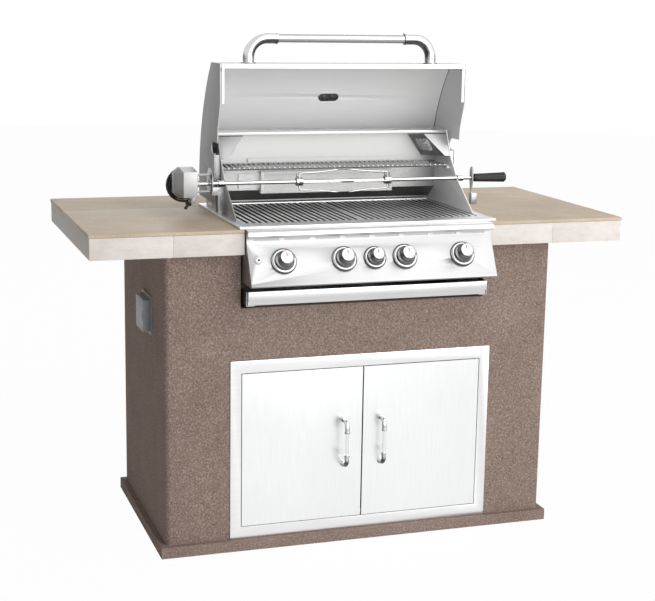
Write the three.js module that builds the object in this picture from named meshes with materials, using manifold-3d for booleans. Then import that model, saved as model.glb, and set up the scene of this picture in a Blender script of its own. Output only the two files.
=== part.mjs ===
// Outdoor kitchen island: a stuccoed cabinet with a tiled counter, a drop-in gas grill whose
// hood stands open, a rotisserie fitted across the grill, and a pair of access doors.
// Millimetres. X runs to the right, Y to the back from the counter's front edge, Z up from the floor.
import * as THREE from 'three';
import { mergeVertices } from 'three/addons/utils/BufferGeometryUtils.js';
import { ConvexGeometry } from 'three/addons/geometries/ConvexGeometry.js';
import Module from 'manifold-3d';

const wasm = await Module();
wasm.setup();

// Fits and stock
const seat = 0.3;
const running = 0.6;
const overrun = 8;
const sheet = 1.6;

// Counter
const counterHalfWidth = 774;
const counterDepth = 721;
const counterHeight = 914;
const counterThickness = 68;
const tileThickness = 10;
const tileProud = 2;
const tileEase = 1.2;
const tileJoint = 3;
const edgeJointX = 552;
const cutoutHalfWidth = 358;
const cutoutBack = 463;

// Cabinet
const baseHalfWidth = 568;
const baseFront = 41;
const baseBack = 642;
const baseWall = 24;
const baseCorner = 16;
const floorThickness = 24;
const plinthHeight = 32;
const plinthProud = 15;
const studSize = 40;
const sillGap = 14.9;

// Access doors
const frameHalfWidth = 386.5;
const frameTop = 545;
const frameProud = 3.5;
const frameSide = 31;
const frameHead = 35;
const frameFoot = 34.5;
const frameCorner = 4;
const sleeveDepth = 60;
const doorGap = 2;
const doorMiddleGap = 4;
const doorDepth = 22;
const doorHem = 14;
const hingeInset = 5;
const hingeDepth = 4;
const hingeRodRadius = 2.4;
const stopGap = 1;
const stopWidth = 10;
const doorHandleX = 55.5;
const doorHandleZ = 292.6;
const doorHandleSpan = 131;
const doorHandleStand = 30;
const doorHandleRadius = 5;
const doorElbowRadius = 6.5;
const doorElbowBend = 20;
const doorElbowReach = 33;
const doorFootRadius = 9;
const doorFootThickness = 2.5;
const collarProud = 1.2;
const collarLength = 5;

// Outlet on the left side
const outletFront = 204;
const outletBack = 326;
const outletBottom = 592;
const outletTop = 702;
const outletPlate = 4;
const outletRim = 8;
const outletDepth = 34;
const outletCorner = 5;
const flapDepth = 20;
const flapWall = 1.8;
const flapInset = 9;
const flapPinRadius = 1.5;
const flapBarrelRadius = 3.2;
const flapBarrelEnd = 18;
const lugWall = 1.2;
const latchWidth = 7;
const latchHeight = 27;

// Grill deck and front
const deckHalfWidth = 372;
const deckTop = 922;
const deckBack = 480;
const deckOpeningFront = 62;
const deckOpeningBack = 452;
const deckOpeningHalfWidth = 345;
const railProud = 28;
const railHeight = 21;
const railRound = 14;
const railNose = 4;
const railBack = 10;
const panelHalfWidth = 355;
const panelTopY = -5;
const panelTopZ = 879;
const panelBottomY = -61;
const panelBottomZ = 772;
const panelLip = 14;
const lipRound = 4;
const panelReturn = 90;
const ventTabs = 9;
const ventTabWidth = 17;
const ventTabPitch = 86;
const ventSill = 5;
const knobAlong = 55;
const knobHeight = 40;
const knobLift = 3;
const knobRadius = 26.5;
const stemRadius = 4;
const stemReach = 20;
const bezelHeight = 8;
const bezelWidth = 9;
const bezelFacetTurn = 0.06;
const outerKnobX = 259;
const innerKnobX = 88;
const smallKnobShare = 0.9;
const switchX = -328;
const switchAlong = 50;
const switchRadius = 8;
const switchHeight = 4;
const switchRim = 2.5;
const switchDepth = 14;

// Firebox
const fireboxFront = 56;
const fireboxBack = 455;
const fireboxSkirt = 752;
const runnerBottom = 705;
const runnerFront = 2;
const runnerFoot = 24;
const grateLedge = 904;
const plateLedge = 850;
const ledgeWidth = 14;
const burnerZ = 800;
const burnerRadius = 17;
const burnerFront = 78;
const burnerBack = 441;
const burnerShelf = 26;
const venturiRadius = 12;
const venturiFront = 34;
const venturiWall = 2.5;
const plateHalfWidth = 54;
const plateRise = 26;
const plateFoot = 10;
const plateEndGap = 1.5;
const manifoldRadius = 10;
const manifoldHalfWidth = 300;
const manifoldSet = 46;
const valveRadius = 11;
const valveStart = 8;
const spudRadius = 4;
const spudReach = 6;
const strapX = 170;
const strapWidth = 20;
const strapThickness = 3;

// Drip tray
const trayPlay = 2.5;
const trayFront = 1.5;
const trayBack = 435;
const trayRim = 740;
const fasciaFront = -8;
const fasciaBottom = 720;
const fasciaTop = 746;

// Grates and rack
const grateBars = 19;
const grateBarTop = 9;
const grateBarFoot = 5;
const grateBarHeight = 10;
const grateBarSink = 2.3;
const grateRailWidth = 8;
const grateRailHeight = 8;
const grateGap = 1;
const grateEndGap = 2;
const rackFront = 284;
const rackBack = 394;
const rackZ = 1042;
const rackEndGap = 5;
const rackRodRadius = 3;
const rackWires = 45;
const wireRadius = 2;
const rackPin = 12;

// Rear housing and wind guards
const cheekInner = 350;
const cheekThickness = 3;
const cheekTipY = 111;
const cheekKneeY = 232;
const cheekKneeZ = 1007;
const cheekHipY = 287;
const cheekHipZ = 1070;
const lipY = 324;
const lipHeight = 9;
const housingTop = 1143;
const housingShoulder = 408;
const housingHipZ = 1060;
const housingBack = 456;
const rearPanelY = 404;
const rearPanelHipZ = 966;
const rearPanelKneeY = 449;
const rearPanelKneeZ = 932;
const rearPanelFoot = 453;
const ribHalfWidth = 243;
const ribBottom = 1049;
const ribHeight = 11;
const ribProud = 5;
const ledgeBarDepth = 9;
const ledgeBarHeight = 3;
const postFront = 296;
const postDepth = 49;
const postTop = 1083;
const postOuter = 364;
const lampTopX = 278;
const lampFrontX = 333;
const lampBackTopX = 254;
const lampBackBottomX = 303;
const lampFaceTop = 1132;
const lampBackBottom = 1062;
const lensWidth = 60;
const lensHeight = 42;
const lensCorner = 8;
const lensRecess = 3;
const lensProud = 2;
const rearBurnerHalfWidth = 205;
const rearBurnerBottom = 958;
const rearBurnerTop = 1022;
const rearBurnerDepth = 18;
const rearBurnerRim = 8;
const rearBurnerRecess = 5;
const burnerTab = 3;
const leftTabX = 270;
const rightTabX = 240;
const tabInset = 6;

// Hood, in its closed place, and its hinge
const hingeY = 323.5;
const hingeZ = 1018.5;
const hoodOpenTurn = -Math.PI / 2;
const hoodHalfWidth = 368;
const hoodSide = 2;
const hoodSkin = 3;
const hoodFront = 2;
const hoodBottom = 927;
const stripTop = 1030;
const hoodRearY = 395;
const hoodRearZ = 1177;
const hoodArcRadius = 509;
const hoodArcSteps = 24;
const hoodKneeY = 111;
const hoodKneeZ = 929;
const hoodRampY = 187;
const hoodRampZ = 955;
const notchLipZ = 960;
const notchRadius = 17;
const notchSteps = 8;
const hoodHeelY = 397;
const hoodHeelZ = 988;
const hoodFlange = 12;
const bumperRadius = 5;
const bumperY = 16;
const bumperLift = 0.6;
const studRadius = 5;
const studHead = 9;
const studHeadThickness = 4;
const hoodHandleZ = 977;
const hoodHandleHalfSpan = 274;
const hoodHandleStand = 70;
const hoodHandleRadius = 12.5;
const hoodElbowRadius = 16;
const hoodElbowBend = 54;
const hoodElbowEnd = 191.7;
const hoodFootRadius = 21;
const hoodFootThickness = 4;
const gaugeX = 6;
const gaugeY = 103;
const gaugeRadius = 32;
const gaugeDepth = 12;
const gaugeStem = 6;
const gaugePlateHalfWidth = 31;
const gaugePlateHalfHeight = 13.5;
const gaugePlateThickness = 2;
const gaugeNutRadius = 5.5;
const gaugeNutX = 13;
const gaugeNutHeight = 4;
const gaugeGap = 0.9;

// Rotisserie
const spitY = 240;
const spitZ = 1009;
const spitRadius = 5.5;
const spitLeftX = -434;
const spitRightX = 430;
const bushRadius = 9;
const bushEnd = 372;
const cradlePlay = 1;
const motorRight = -438;
const motorFrontWidth = 39;
const motorBackWidth = 55;
const motorFlangeWidth = 59;
const motorFrontBottom = 975;
const motorFrontTop = 1046;
const motorBottom = 968;
const motorTop = 1054;
const motorCorner = 17;
const motorFront = 205;
const motorShoulder = 262;
const motorBack = 275;
const socketRadius = 9;
const socketReach = 14;
const bracketX = -394;
const bracketFront = 207;
const bracketBottom = 976;
const bracketTop = 1052;
const bracketCut = 20;
const bracketHole = 10;
const bracketTabTop = 998;
const standoffRadius = 3.6;
const standoffHigh = 1034;
const standoffLow = 987;
const forkX = 134;
const forkHubRadius = 12;
const forkHubLength = 20;
const prongs = 4;
const prongRadius = 2.2;
const prongReach = 118;
const prongOffset = 24;
const prongSpread = 9;
const prongBend = 7;
const thumbScrewRadius = 4;
const thumbScrewReach = 27;
const gripEnd = 508;
const gripSmallRadius = 12;
const gripLargeRadius = 15;
const gripFlutes = 7;
const fluteShare = 0.07;
const gripBore = 30;
const gripCollarRadius = 8;
const gripCollarLength = 5;
const bladeX = 398.5;
const bladeThickness = 4;
const bladeTop = 1042;
const bladeTip = 969;
const bladeHalfWidth = 10;
const neckHalfWidth = 3;
const weightTop = 964;
const weightBottom = 931;
const weightDepth = 20;
const weightWidth = 17;

// Motor lead: gland, coil hung on a peg behind the motor, and plug
const cordRadius = 3;
const coilX = -463.5;
const coilZ = 1004.5;
const coilRadius = 47.5;
const coilPitch = 6.7;
const coilStartDegrees = -90;
const coilTurnsIn = 3.5;
const coilTurnsOut = 3 + 1 / 3;
const coilClimbTurns = 0.5;
const coilPeelTurns = 0.25;
const coilStepsPerTurn = 24;
const coilSides = 6;
const pegRadius = 5;
const pegHead = 8;
const pegHeadThickness = 2;
const glandX = -448;
const glandRadius = 4.5;
const glandLength = 5;
const glandBossWidth = 12;
const glandBossDepth = 22;
const glandBossHeight = 12;
const plugNeckRadius = 3.8;
const plugNeckLength = 12;
const plugRadius = 9;
const plugLength = 26;
const plugBladeLength = 14;
const plugBladeWidth = 6;
const plugBladeThickness = 1.6;
const plugBladeX = 4.5;

// Solids: joining and cutting
function solid(piece) {
  if (!piece.isBufferGeometry) return piece;
  const bare = new THREE.BufferGeometry();
  bare.setAttribute('position', piece.getAttribute('position').clone());
  if (piece.index) bare.setIndex(piece.index.clone());
  const merged = mergeVertices(bare, 1e-3);
  const places = merged.getAttribute('position').array;
  const corners = [];
  let volume = 0;
  for (let i = 0; i < merged.index.count; i += 3) {
    const [a, b, c] = [0, 1, 2].map((k) => merged.index.getX(i + k));
    if (a === b || b === c || c === a) continue;
    corners.push(a, b, c);
    const [p, q, r] = [a, b, c].map((n) => new THREE.Vector3().fromArray(places, 3 * n));
    volume += p.dot(q.cross(r));
  }
  if (volume < 0) corners.reverse();
  return new wasm.Manifold(new wasm.Mesh({
    numProp: 3,
    vertProperties: new Float32Array(places),
    triVerts: new Uint32Array(corners),
  }));
}

function geometryOf(body) {
  const mesh = body.getMesh();
  const geometry = new THREE.BufferGeometry();
  geometry.setAttribute('position', new THREE.BufferAttribute(new Float32Array(mesh.vertProperties), 3));
  geometry.setIndex(new THREE.BufferAttribute(new Uint32Array(mesh.triVerts), 1));
  return geometry;
}

function join(...pieces) {
  return geometryOf(pieces.map(solid).reduce((sum, next) => sum.add(next)));
}

function cut(piece, ...tools) {
  return geometryOf(tools.map(solid).reduce((rest, tool) => rest.subtract(tool), solid(piece)));
}

function mirrored(geometry) {
  return geometry.clone().scale(-1, 1, 1);
}

// Solids: blocks, and outlines pushed along an axis
function block(x0, x1, y0, y1, z0, z1) {
  return new THREE.BoxGeometry(x1 - x0, y1 - y0, z1 - z0)
    .translate((x0 + x1) / 2, (y0 + y1) / 2, (z0 + z1) / 2);
}

function outline(points) {
  if (points instanceof THREE.Shape) return points;
  return new THREE.Shape(points.map(([u, v]) => new THREE.Vector2(u, v)));
}

function extruded(shape, depth) {
  return new THREE.ExtrudeGeometry(outline(shape), { depth, bevelEnabled: false, curveSegments: 3 });
}

function alongX(shape, x0, x1) {
  const axes = new THREE.Matrix4().makeBasis(
    new THREE.Vector3(0, 1, 0), new THREE.Vector3(0, 0, 1), new THREE.Vector3(1, 0, 0));
  return extruded(shape, x1 - x0).applyMatrix4(axes).translate(x0, 0, 0);
}

function alongY(shape, y0, y1) {
  const axes = new THREE.Matrix4().makeBasis(
    new THREE.Vector3(1, 0, 0), new THREE.Vector3(0, 0, 1), new THREE.Vector3(0, -1, 0));
  return extruded(shape, y1 - y0).applyMatrix4(axes).translate(0, y1, 0);
}

function alongZ(shape, z0, z1) {
  return extruded(shape, z1 - z0).translate(0, 0, z0);
}

function rounded(u0, u1, v0, v1, radius) {
  const shape = new THREE.Shape();
  shape.absarc(u1 - radius, v0 + radius, radius, -Math.PI / 2, 0);
  shape.absarc(u1 - radius, v1 - radius, radius, 0, Math.PI / 2);
  shape.absarc(u0 + radius, v1 - radius, radius, Math.PI / 2, Math.PI);
  shape.absarc(u0 + radius, v0 + radius, radius, Math.PI, 1.5 * Math.PI);
  return shape;
}

function framed(outer, inner) {
  outer.holes.push(inner);
  return outer;
}

// A bent sheet: an open line of (u, v) points, thickened to its left with mitred bends.
function bentSheet(line, thickness = sheet) {
  const points = line.map(([u, v]) => new THREE.Vector2(u, v));
  const sides = points.slice(1).map((point, i) => {
    const along = point.clone().sub(points[i]).normalize();
    return new THREE.Vector2(-along.y, along.x);
  });
  const inner = points.map((point, i) => {
    const before = sides[Math.max(i - 1, 0)];
    const after = sides[Math.min(i, sides.length - 1)];
    const miter = before.clone().add(after).normalize();
    return point.clone().addScaledVector(miter, thickness / miter.dot(after));
  });
  return new THREE.Shape([...points, ...inner.reverse()]);
}

// Solids: rods, bent rods and turned pieces
function rod(from, to, radius, sides = 10) {
  const start = new THREE.Vector3(...from);
  const end = new THREE.Vector3(...to);
  const along = end.clone().sub(start);
  const turn = new THREE.Quaternion().setFromUnitVectors(
    new THREE.Vector3(0, 1, 0), along.clone().normalize());
  return new THREE.CylinderGeometry(radius, radius, along.length(), sides)
    .applyQuaternion(turn)
    .translate(...start.add(end).multiplyScalar(1 / 2).toArray());
}

function bend(corner, toStart, toEnd, radius, steps = 6) {
  const [c, u, v] = [corner, toStart, toEnd].map((p) => new THREE.Vector3(...p));
  const points = [];
  for (let i = 0; i <= steps; i += 1) {
    const turn = (Math.PI / 2) * (i / steps);
    points.push(c.clone()
      .addScaledVector(u, radius * (1 - Math.sin(turn)))
      .addScaledVector(v, radius * (1 - Math.cos(turn))).toArray());
  }
  return points;
}

function bentRod(points, radius, sides, steps) {
  const path = new THREE.CatmullRomCurve3(points.map((p) => new THREE.Vector3(...p)), false, 'centripetal');
  const section = new THREE.Shape();
  section.absarc(0, 0, radius, 0, 2 * Math.PI);
  return new THREE.ExtrudeGeometry(new THREE.Shape(section.getPoints(sides).slice(0, sides)), {
    extrudePath: path, steps, bevelEnabled: false });
}

function turned(points, axis, sides = 16) {
  const piece = new THREE.LatheGeometry(points.map(([r, h]) => new THREE.Vector2(r, h)), sides);
  if (axis === 'x') return piece.rotateZ(-Math.PI / 2);
  if (axis === 'z') return piece.rotateX(Math.PI / 2);
  return piece;
}

// A skin through rings of equal count, closed at both ends.
function loft(rings) {
  const count = rings[0].length;
  const corners = [];
  rings.slice(1).forEach((_, j) => {
    for (let i = 0; i < count; i += 1) {
      const [a, b] = [j * count + i, j * count + ((i + 1) % count)];
      corners.push(a, b, a + count, b, b + count, a + count);
    }
  });
  const last = (rings.length - 1) * count;
  for (let i = 1; i < count - 1; i += 1) {
    corners.push(0, i + 1, i, last, last + i, last + i + 1);
  }
  const geometry = new THREE.BufferGeometry();
  geometry.setAttribute('position', new THREE.Float32BufferAttribute(rings.flat(2), 3));
  geometry.setIndex(corners);
  return geometry;
}

// Places worked out from the sizes
const coreTop = counterHeight - tileThickness - seat;
const coreBottom = counterHeight - counterThickness;
const baseTop = coreBottom - seat;
const frameFace = baseFront - frameProud;
const frameBottom = plinthHeight + seat;
const openingHalfWidth = frameHalfWidth - frameSide;
const openingBottom = frameBottom + frameFoot;
const openingTop = frameTop - frameHead;
const hingeRodX = openingHalfWidth - doorGap - hingeInset;
const hingeRodY = frameFace + hingeDepth;
const deckUnderside = counterHeight + seat;
const deckSeat = deckTop - sheet - seat;
const deckRest = deckTop + seat;
const railTop = deckUnderside - seat;
const railUnderside = railTop - railHeight;
const panelAngle = Math.atan2(panelTopY - panelBottomY, panelTopZ - panelBottomZ);
const panelTilt = Math.PI / 2 - panelAngle;
const fireboxHalfWidth = panelHalfWidth - sheet - seat;
const trayHalfWidth = fireboxHalfWidth - sheet - trayPlay;
const trayBottom = runnerBottom + sheet + seat;
const cheekOuter = cheekInner + cheekThickness;
const betweenCheeks = cheekInner - seat;
const layerY = motorBack + seat + cordRadius;
const tailY = layerY + coilPitch + cordRadius + plugRadius + running;
const knobs = [-outerKnobX, -innerKnobX, 0, innerKnobX, outerKnobX];
const burners = [-outerKnobX, -innerKnobX, innerKnobX, outerKnobX];

// The control panel's own frame: distance down its face from the top edge, height off the face.
function panelPoint(along, height) {
  return [
    panelTopY - along * Math.sin(panelAngle) - height * Math.cos(panelAngle),
    panelTopZ - along * Math.cos(panelAngle) + height * Math.sin(panelAngle),
  ];
}

function onPanel(geometry, x, along) {
  return geometry.rotateX(panelTilt).translate(x, ...panelPoint(along, 0));
}

const island = new THREE.Group();

function finish(color, metalness, roughness) {
  return new THREE.MeshStandardMaterial({ color, metalness, roughness, flatShading: true });
}

const stucco = finish(0x96857c, 0, 0.95);
const tile = finish(0xc4b8a8, 0, 0.6);
const tileEdge = finish(0xe6ddd5, 0, 0.7);
const brushed = finish(0xd9dadb, 0.9, 0.35);
const polished = finish(0xe6e8ea, 1, 0.12);
const darkSteel = finish(0x55565a, 0.7, 0.5);
const galvanised = finish(0x9a9da0, 0.7, 0.55);
const castIron = finish(0x3a3a3c, 0.5, 0.6);
const ceramic = finish(0x8c8a86, 0, 0.8);
const glass = finish(0xdfe6ea, 0, 0.1);
const blackPlastic = finish(0x1b1b1c, 0, 0.5);
const coverGrey = finish(0x8d9094, 0.2, 0.6);

function place(name, geometry, material, parent = island) {
  const mesh = new THREE.Mesh(geometryOf(solid(geometry)), material);
  mesh.name = name;
  parent.add(mesh);
  return mesh;
}

// Cabinet: stuccoed board shell on corner studs, open on top, with its floor and plinth
function cabinet() {
  const innerHalf = baseHalfWidth - baseWall;
  const middle = baseWall / 2;
  const walls = alongZ(framed(
    rounded(-baseHalfWidth, baseHalfWidth, baseFront, baseBack, baseCorner),
    rounded(-innerHalf, innerHalf, baseFront + baseWall, baseBack - baseWall, baseCorner / 2)),
  0, baseTop);
  const inside = [-innerHalf - middle, innerHalf + middle, baseFront + middle, baseBack - middle];
  const floor = block(...inside, 0, floorThickness);
  const plinth = cut(
    block(-baseHalfWidth - plinthProud, baseHalfWidth + plinthProud,
      baseFront - plinthProud, baseBack + plinthProud, 0, plinthHeight),
    block(...inside, -overrun, plinthHeight + overrun));
  const studs = [[-1, 0], [-1, 1], [1, 0], [1, 1]].map(([side, back]) => {
    const xs = [side * (innerHalf + middle), side * (innerHalf - studSize)].sort((a, b) => a - b);
    const ys = back
      ? [baseBack - baseWall - studSize, baseBack - middle]
      : [baseFront + middle, baseFront + baseWall + studSize];
    return block(...xs, ...ys, floorThickness / 2, baseTop);
  });
  const front = [baseFront - overrun, baseFront + baseWall + overrun];
  const grillOpening = block(
    -cutoutHalfWidth, cutoutHalfWidth, ...front, trayBottom - sillGap, baseTop + overrun);
  const rim = sheet + seat;
  const doorOpening = block(-openingHalfWidth - rim, openingHalfWidth + rim, ...front,
    openingBottom - rim, openingTop + rim);
  const outletOpening = block(-baseHalfWidth - overrun, -innerHalf + overrun,
    outletFront + outletRim - seat, outletBack - outletRim + seat,
    outletBottom + outletRim - seat, outletTop - outletRim + seat);
  return cut(join(walls, floor, plinth, ...studs), grillOpening, doorOpening, outletOpening);
}
place('base_cabinet', cabinet(), stucco);

// Counter: backer core with jointed edges, and three top tiles round the grill's cut-out
function counterCore() {
  const side = counterHalfWidth - tileProud;
  const back = counterDepth - tileProud;
  const core = alongZ([
    [-side, tileProud], [-cutoutHalfWidth, tileProud], [-cutoutHalfWidth, cutoutBack],
    [cutoutHalfWidth, cutoutBack], [cutoutHalfWidth, tileProud], [side, tileProud],
    [side, back], [-side, back],
  ], coreBottom, coreTop);
  const joints = [-edgeJointX, edgeJointX].map((x) => block(
    x - tileJoint / 2, x + tileJoint / 2, tileProud - overrun, tileProud + tileEase,
    coreBottom - overrun, coreTop + overrun));
  return cut(core, ...joints);
}
place('counter_core', counterCore(), tileEdge);

function topTile(x0, x1, y0, y1) {
  const shape = outline([
    [x0 + tileEase, y0 + tileEase], [x1 - tileEase, y0 + tileEase],
    [x1 - tileEase, y1 - tileEase], [x0 + tileEase, y1 - tileEase]]);
  const edges = { bevelThickness: tileEase, bevelSize: tileEase, bevelSegments: 1 };
  return new THREE.ExtrudeGeometry(shape, { depth: tileThickness - 2 * tileEase, ...edges })
    .translate(0, 0, counterHeight - tileThickness + tileEase);
}
const tileHalfJoint = tileJoint / 2;
place('counter_top_left',
  topTile(-counterHalfWidth, -cutoutHalfWidth, 0, cutoutBack - tileHalfJoint), tile);
place('counter_top_right',
  topTile(cutoutHalfWidth, counterHalfWidth, 0, cutoutBack - tileHalfJoint), tile);
place('counter_top_rear',
  topTile(-counterHalfWidth, counterHalfWidth, cutoutBack + tileHalfJoint, counterDepth), tile);

// Access doors: trim frame with its sleeve, two pans on hinge rods, and bow handles
function doorFrame() {
  const hole = () => outline([
    [-openingHalfWidth, openingBottom], [openingHalfWidth, openingBottom],
    [openingHalfWidth, openingTop], [-openingHalfWidth, openingTop]]);
  const flange = alongY(framed(
    rounded(-frameHalfWidth, frameHalfWidth, frameBottom, frameTop, frameCorner), hole()),
  frameFace, baseFront - seat);
  const sleeve = alongY(framed(outline([
    [-openingHalfWidth - sheet, openingBottom - sheet], [openingHalfWidth + sheet, openingBottom - sheet],
    [openingHalfWidth + sheet, openingTop + sheet], [-openingHalfWidth - sheet, openingTop + sheet],
  ]), hole()), frameFace, frameFace + sleeveDepth);
  const stopFace = frameFace + doorDepth + stopGap;
  const stop = alongY(framed(outline([
    [-openingHalfWidth - sheet, openingBottom - sheet], [openingHalfWidth + sheet, openingBottom - sheet],
    [openingHalfWidth + sheet, openingTop + sheet], [-openingHalfWidth - sheet, openingTop + sheet],
  ]), outline([
    [-openingHalfWidth + stopWidth, openingBottom + stopWidth],
    [openingHalfWidth - stopWidth, openingBottom + stopWidth],
    [openingHalfWidth - stopWidth, openingTop - stopWidth],
    [-openingHalfWidth + stopWidth, openingTop - stopWidth],
  ])), stopFace, stopFace + sheet);
  return join(flange, sleeve, stop);
}
place('door_frame', doorFrame(), brushed);

function rightDoor() {
  const [x0, x1] = [doorMiddleGap / 2, openingHalfWidth - doorGap];
  const [z0, z1] = [openingBottom + doorGap, openingTop - doorGap];
  const [y0, y1] = [frameFace, frameFace + doorDepth];
  const pan = block(x0, x1, y0, y1, z0, z1);
  const hollow = block(x0 + sheet, x1 - sheet, y0 + sheet, y1 - sheet, z0 + sheet, z1 - sheet);
  const back = block(x0 + doorHem, x1 - doorHem, y1 - overrun, y1 + overrun, z0 + doorHem, z1 - doorHem);
  const bore = rod([hingeRodX, hingeRodY, z0 - overrun], [hingeRodX, hingeRodY, z1 + overrun],
    hingeRodRadius + seat, 12);
  return cut(pan, hollow, back, bore);
}
const hingeRod = rod([hingeRodX, hingeRodY, openingBottom + seat],
  [hingeRodX, hingeRodY, openingTop - seat], hingeRodRadius);
place('door_right', rightDoor(), brushed);
place('door_left', mirrored(rightDoor()), brushed);
place('hinge_rod_right', hingeRod, polished);
place('hinge_rod_left', mirrored(hingeRod), polished);

function doorHandle(x) {
  const barY = frameFace - doorHandleStand;
  const ends = [-1, 1].flatMap((end) => {
    const z = doorHandleZ + end * doorHandleSpan / 2;
    const reach = z - end * doorElbowReach;
    const elbow = bentRod([
      [x, frameFace - seat - doorFootThickness / 2, z],
      ...bend([x, barY, z], [0, 1, 0], [0, 0, -end], doorElbowBend),
      [x, barY, reach],
    ], doorElbowRadius, 8, 8);
    const foot = rod([x, frameFace - seat, z], [x, frameFace - seat - doorFootThickness, z],
      doorFootRadius, 10);
    const collar = rod([x, barY, reach - end * collarProud], [x, barY, reach + end * collarLength],
      doorElbowRadius + collarProud, 8);
    return [elbow, foot, collar];
  });
  const reach = doorHandleSpan / 2 - doorElbowReach + collarLength;
  const bar = rod([x, barY, doorHandleZ - reach], [x, barY, doorHandleZ + reach], doorHandleRadius, 8);
  return join(bar, ...ends);
}
place('door_handle_left', doorHandle(-doorHandleX), polished);
place('door_handle_right', doorHandle(doorHandleX), polished);

// Outlet on the left side: plate with its box, and a deep flap on a vertical pin
const plateFace = -baseHalfWidth - seat - outletPlate;
const barrelX = plateFace - flapBarrelRadius - running;
const barrelY = outletBack - flapInset;
const flapBottom = outletBottom + flapInset;
const flapTop = outletTop - flapInset;

function outletBox() {
  const plate = alongX(rounded(outletFront, outletBack, outletBottom, outletTop, outletCorner),
    plateFace, -baseHalfWidth - seat);
  const [y0, y1] = [outletFront + outletRim, outletBack - outletRim];
  const [z0, z1] = [outletBottom + outletRim, outletTop - outletRim];
  const box = block(plateFace + outletPlate / 2, -baseHalfWidth + outletDepth, y0, y1, z0, z1);
  const middleY = (y0 + y1) / 2;
  const sockets = [1, 3].map((quarter) => {
    const z = z0 + (z1 - z0) * quarter / 4;
    return alongX(rounded(middleY - outletRim, middleY + outletRim, z - outletRim, z + outletRim,
      outletRim / 2), plateFace - overrun, plateFace + outletPlate / 2);
  });
  const lugs = [[flapBottom, flapBottom + flapBarrelEnd - running], [flapTop - flapBarrelEnd + running, flapTop]]
    .map(([low, high]) => block(barrelX - flapPinRadius - lugWall, plateFace + outletPlate / 2,
      barrelY - flapPinRadius, barrelY + flapPinRadius + lugWall, low, high));
  const pin = rod([barrelX, barrelY, flapBottom + flapBarrelEnd / 2],
    [barrelX, barrelY, flapTop - flapBarrelEnd / 2], flapPinRadius);
  return join(cut(join(plate, box), ...sockets), ...lugs, pin);
}

function outletFlap() {
  const [y0, y1] = [outletFront + flapInset, barrelY - flapBarrelRadius - running];
  const outer = plateFace - running - flapDepth;
  const hull = alongX(rounded(y0, y1, flapBottom, flapTop, outletCorner), outer, plateFace - running);
  const hollow = alongX(
    rounded(y0 + flapWall, y1 - flapWall, flapBottom + flapWall, flapTop - flapWall, outletCorner - flapWall),
    outer + flapWall, plateFace + overrun);
  const middleZ = (flapBottom + flapTop) / 2;
  const latch = block(outer - flapWall, outer + flapWall, y0 + outletCorner, y0 + outletCorner + latchWidth,
    middleZ - latchHeight / 2, middleZ + latchHeight / 2);
  const barrelEnds = [flapBottom + flapBarrelEnd, flapTop - flapBarrelEnd];
  const barrel = rod([barrelX, barrelY, barrelEnds[0]], [barrelX, barrelY, barrelEnds[1]],
    flapBarrelRadius, 14);
  const web = block(barrelX - flapBarrelRadius, barrelX, y1 - flapWall, barrelY, ...barrelEnds);
  const bore = rod([barrelX, barrelY, flapBottom - overrun], [barrelX, barrelY, flapTop + overrun],
    flapPinRadius + seat, 12);
  return cut(join(cut(hull, hollow), latch, barrel, web), bore);
}
place('outlet_box', outletBox(), coverGrey);
place('outlet_flap', outletFlap(), coverGrey);

// Firebox: four walls hung from the deck, with ledges, burner shelf and drip-tray runners
function firebox() {
  const half = fireboxHalfWidth;
  const back = fireboxBack + sheet;
  const walls = alongZ(framed(
    outline([[-half, fireboxFront], [half, fireboxFront], [half, back], [-half, back]]),
    outline([[-half + sheet, fireboxFront + sheet], [half - sheet, fireboxFront + sheet],
      [half - sheet, fireboxBack], [-half + sheet, fireboxBack]])), fireboxSkirt, deckSeat);
  const runner = join(
    block(half - sheet, half, runnerFront, back, runnerBottom, fireboxSkirt - overrun),
    block(half - sheet, half, fireboxFront, back, runnerBottom, fireboxSkirt + overrun),
    block(half - runnerFoot, half, runnerFront, back, runnerBottom, runnerBottom + sheet));
  const rearSkirt = block(-half, half, fireboxBack, back, runnerBottom, fireboxSkirt + overrun);
  const ledges = [grateLedge, plateLedge].flatMap((z) => [
    block(-half + sheet / 2, half - sheet / 2, fireboxFront + sheet / 2,
      fireboxFront + sheet + ledgeWidth, z - sheet, z),
    block(-half + sheet / 2, half - sheet / 2, fireboxBack - ledgeWidth,
      fireboxBack + sheet / 2, z - sheet, z),
  ]);
  const shelfTop = burnerZ - burnerRadius - seat;
  const shelf = block(-half + sheet / 2, half - sheet / 2, fireboxBack - burnerShelf,
    fireboxBack + sheet / 2, shelfTop - sheet, shelfTop);
  const ports = burners.map((x) => rod([x, fireboxFront - overrun, burnerZ],
    [x, fireboxFront + overrun, burnerZ], venturiRadius + seat, 20));
  return cut(join(walls, runner, mirrored(runner), rearSkirt, ...ledges, shelf), ...ports);
}
place('firebox', firebox(), darkSteel);

// Deck: a shallow pan turned upside down over the counter's edge
function deck() {
  const slab = block(-deckHalfWidth, deckHalfWidth, 0, deckBack, deckUnderside, deckTop);
  const opening = block(-deckOpeningHalfWidth, deckOpeningHalfWidth, deckOpeningFront, deckOpeningBack,
    deckUnderside - overrun, deckTop + overrun);
  const [x0, x1] = [deckHalfWidth - sheet, deckOpeningHalfWidth + sheet];
  const [y0, y1] = [deckOpeningFront - sheet, deckOpeningBack + sheet];
  const channel = alongZ(framed(
    outline([[-x0, sheet], [x0, sheet], [x0, deckBack - sheet], [-x0, deckBack - sheet]]),
    outline([[-x1, y0], [x1, y0], [x1, y1], [-x1, y1]])), deckUnderside - overrun, deckTop - sheet);
  return cut(slab, opening, channel);
}
place('deck', deck(), brushed);

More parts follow.
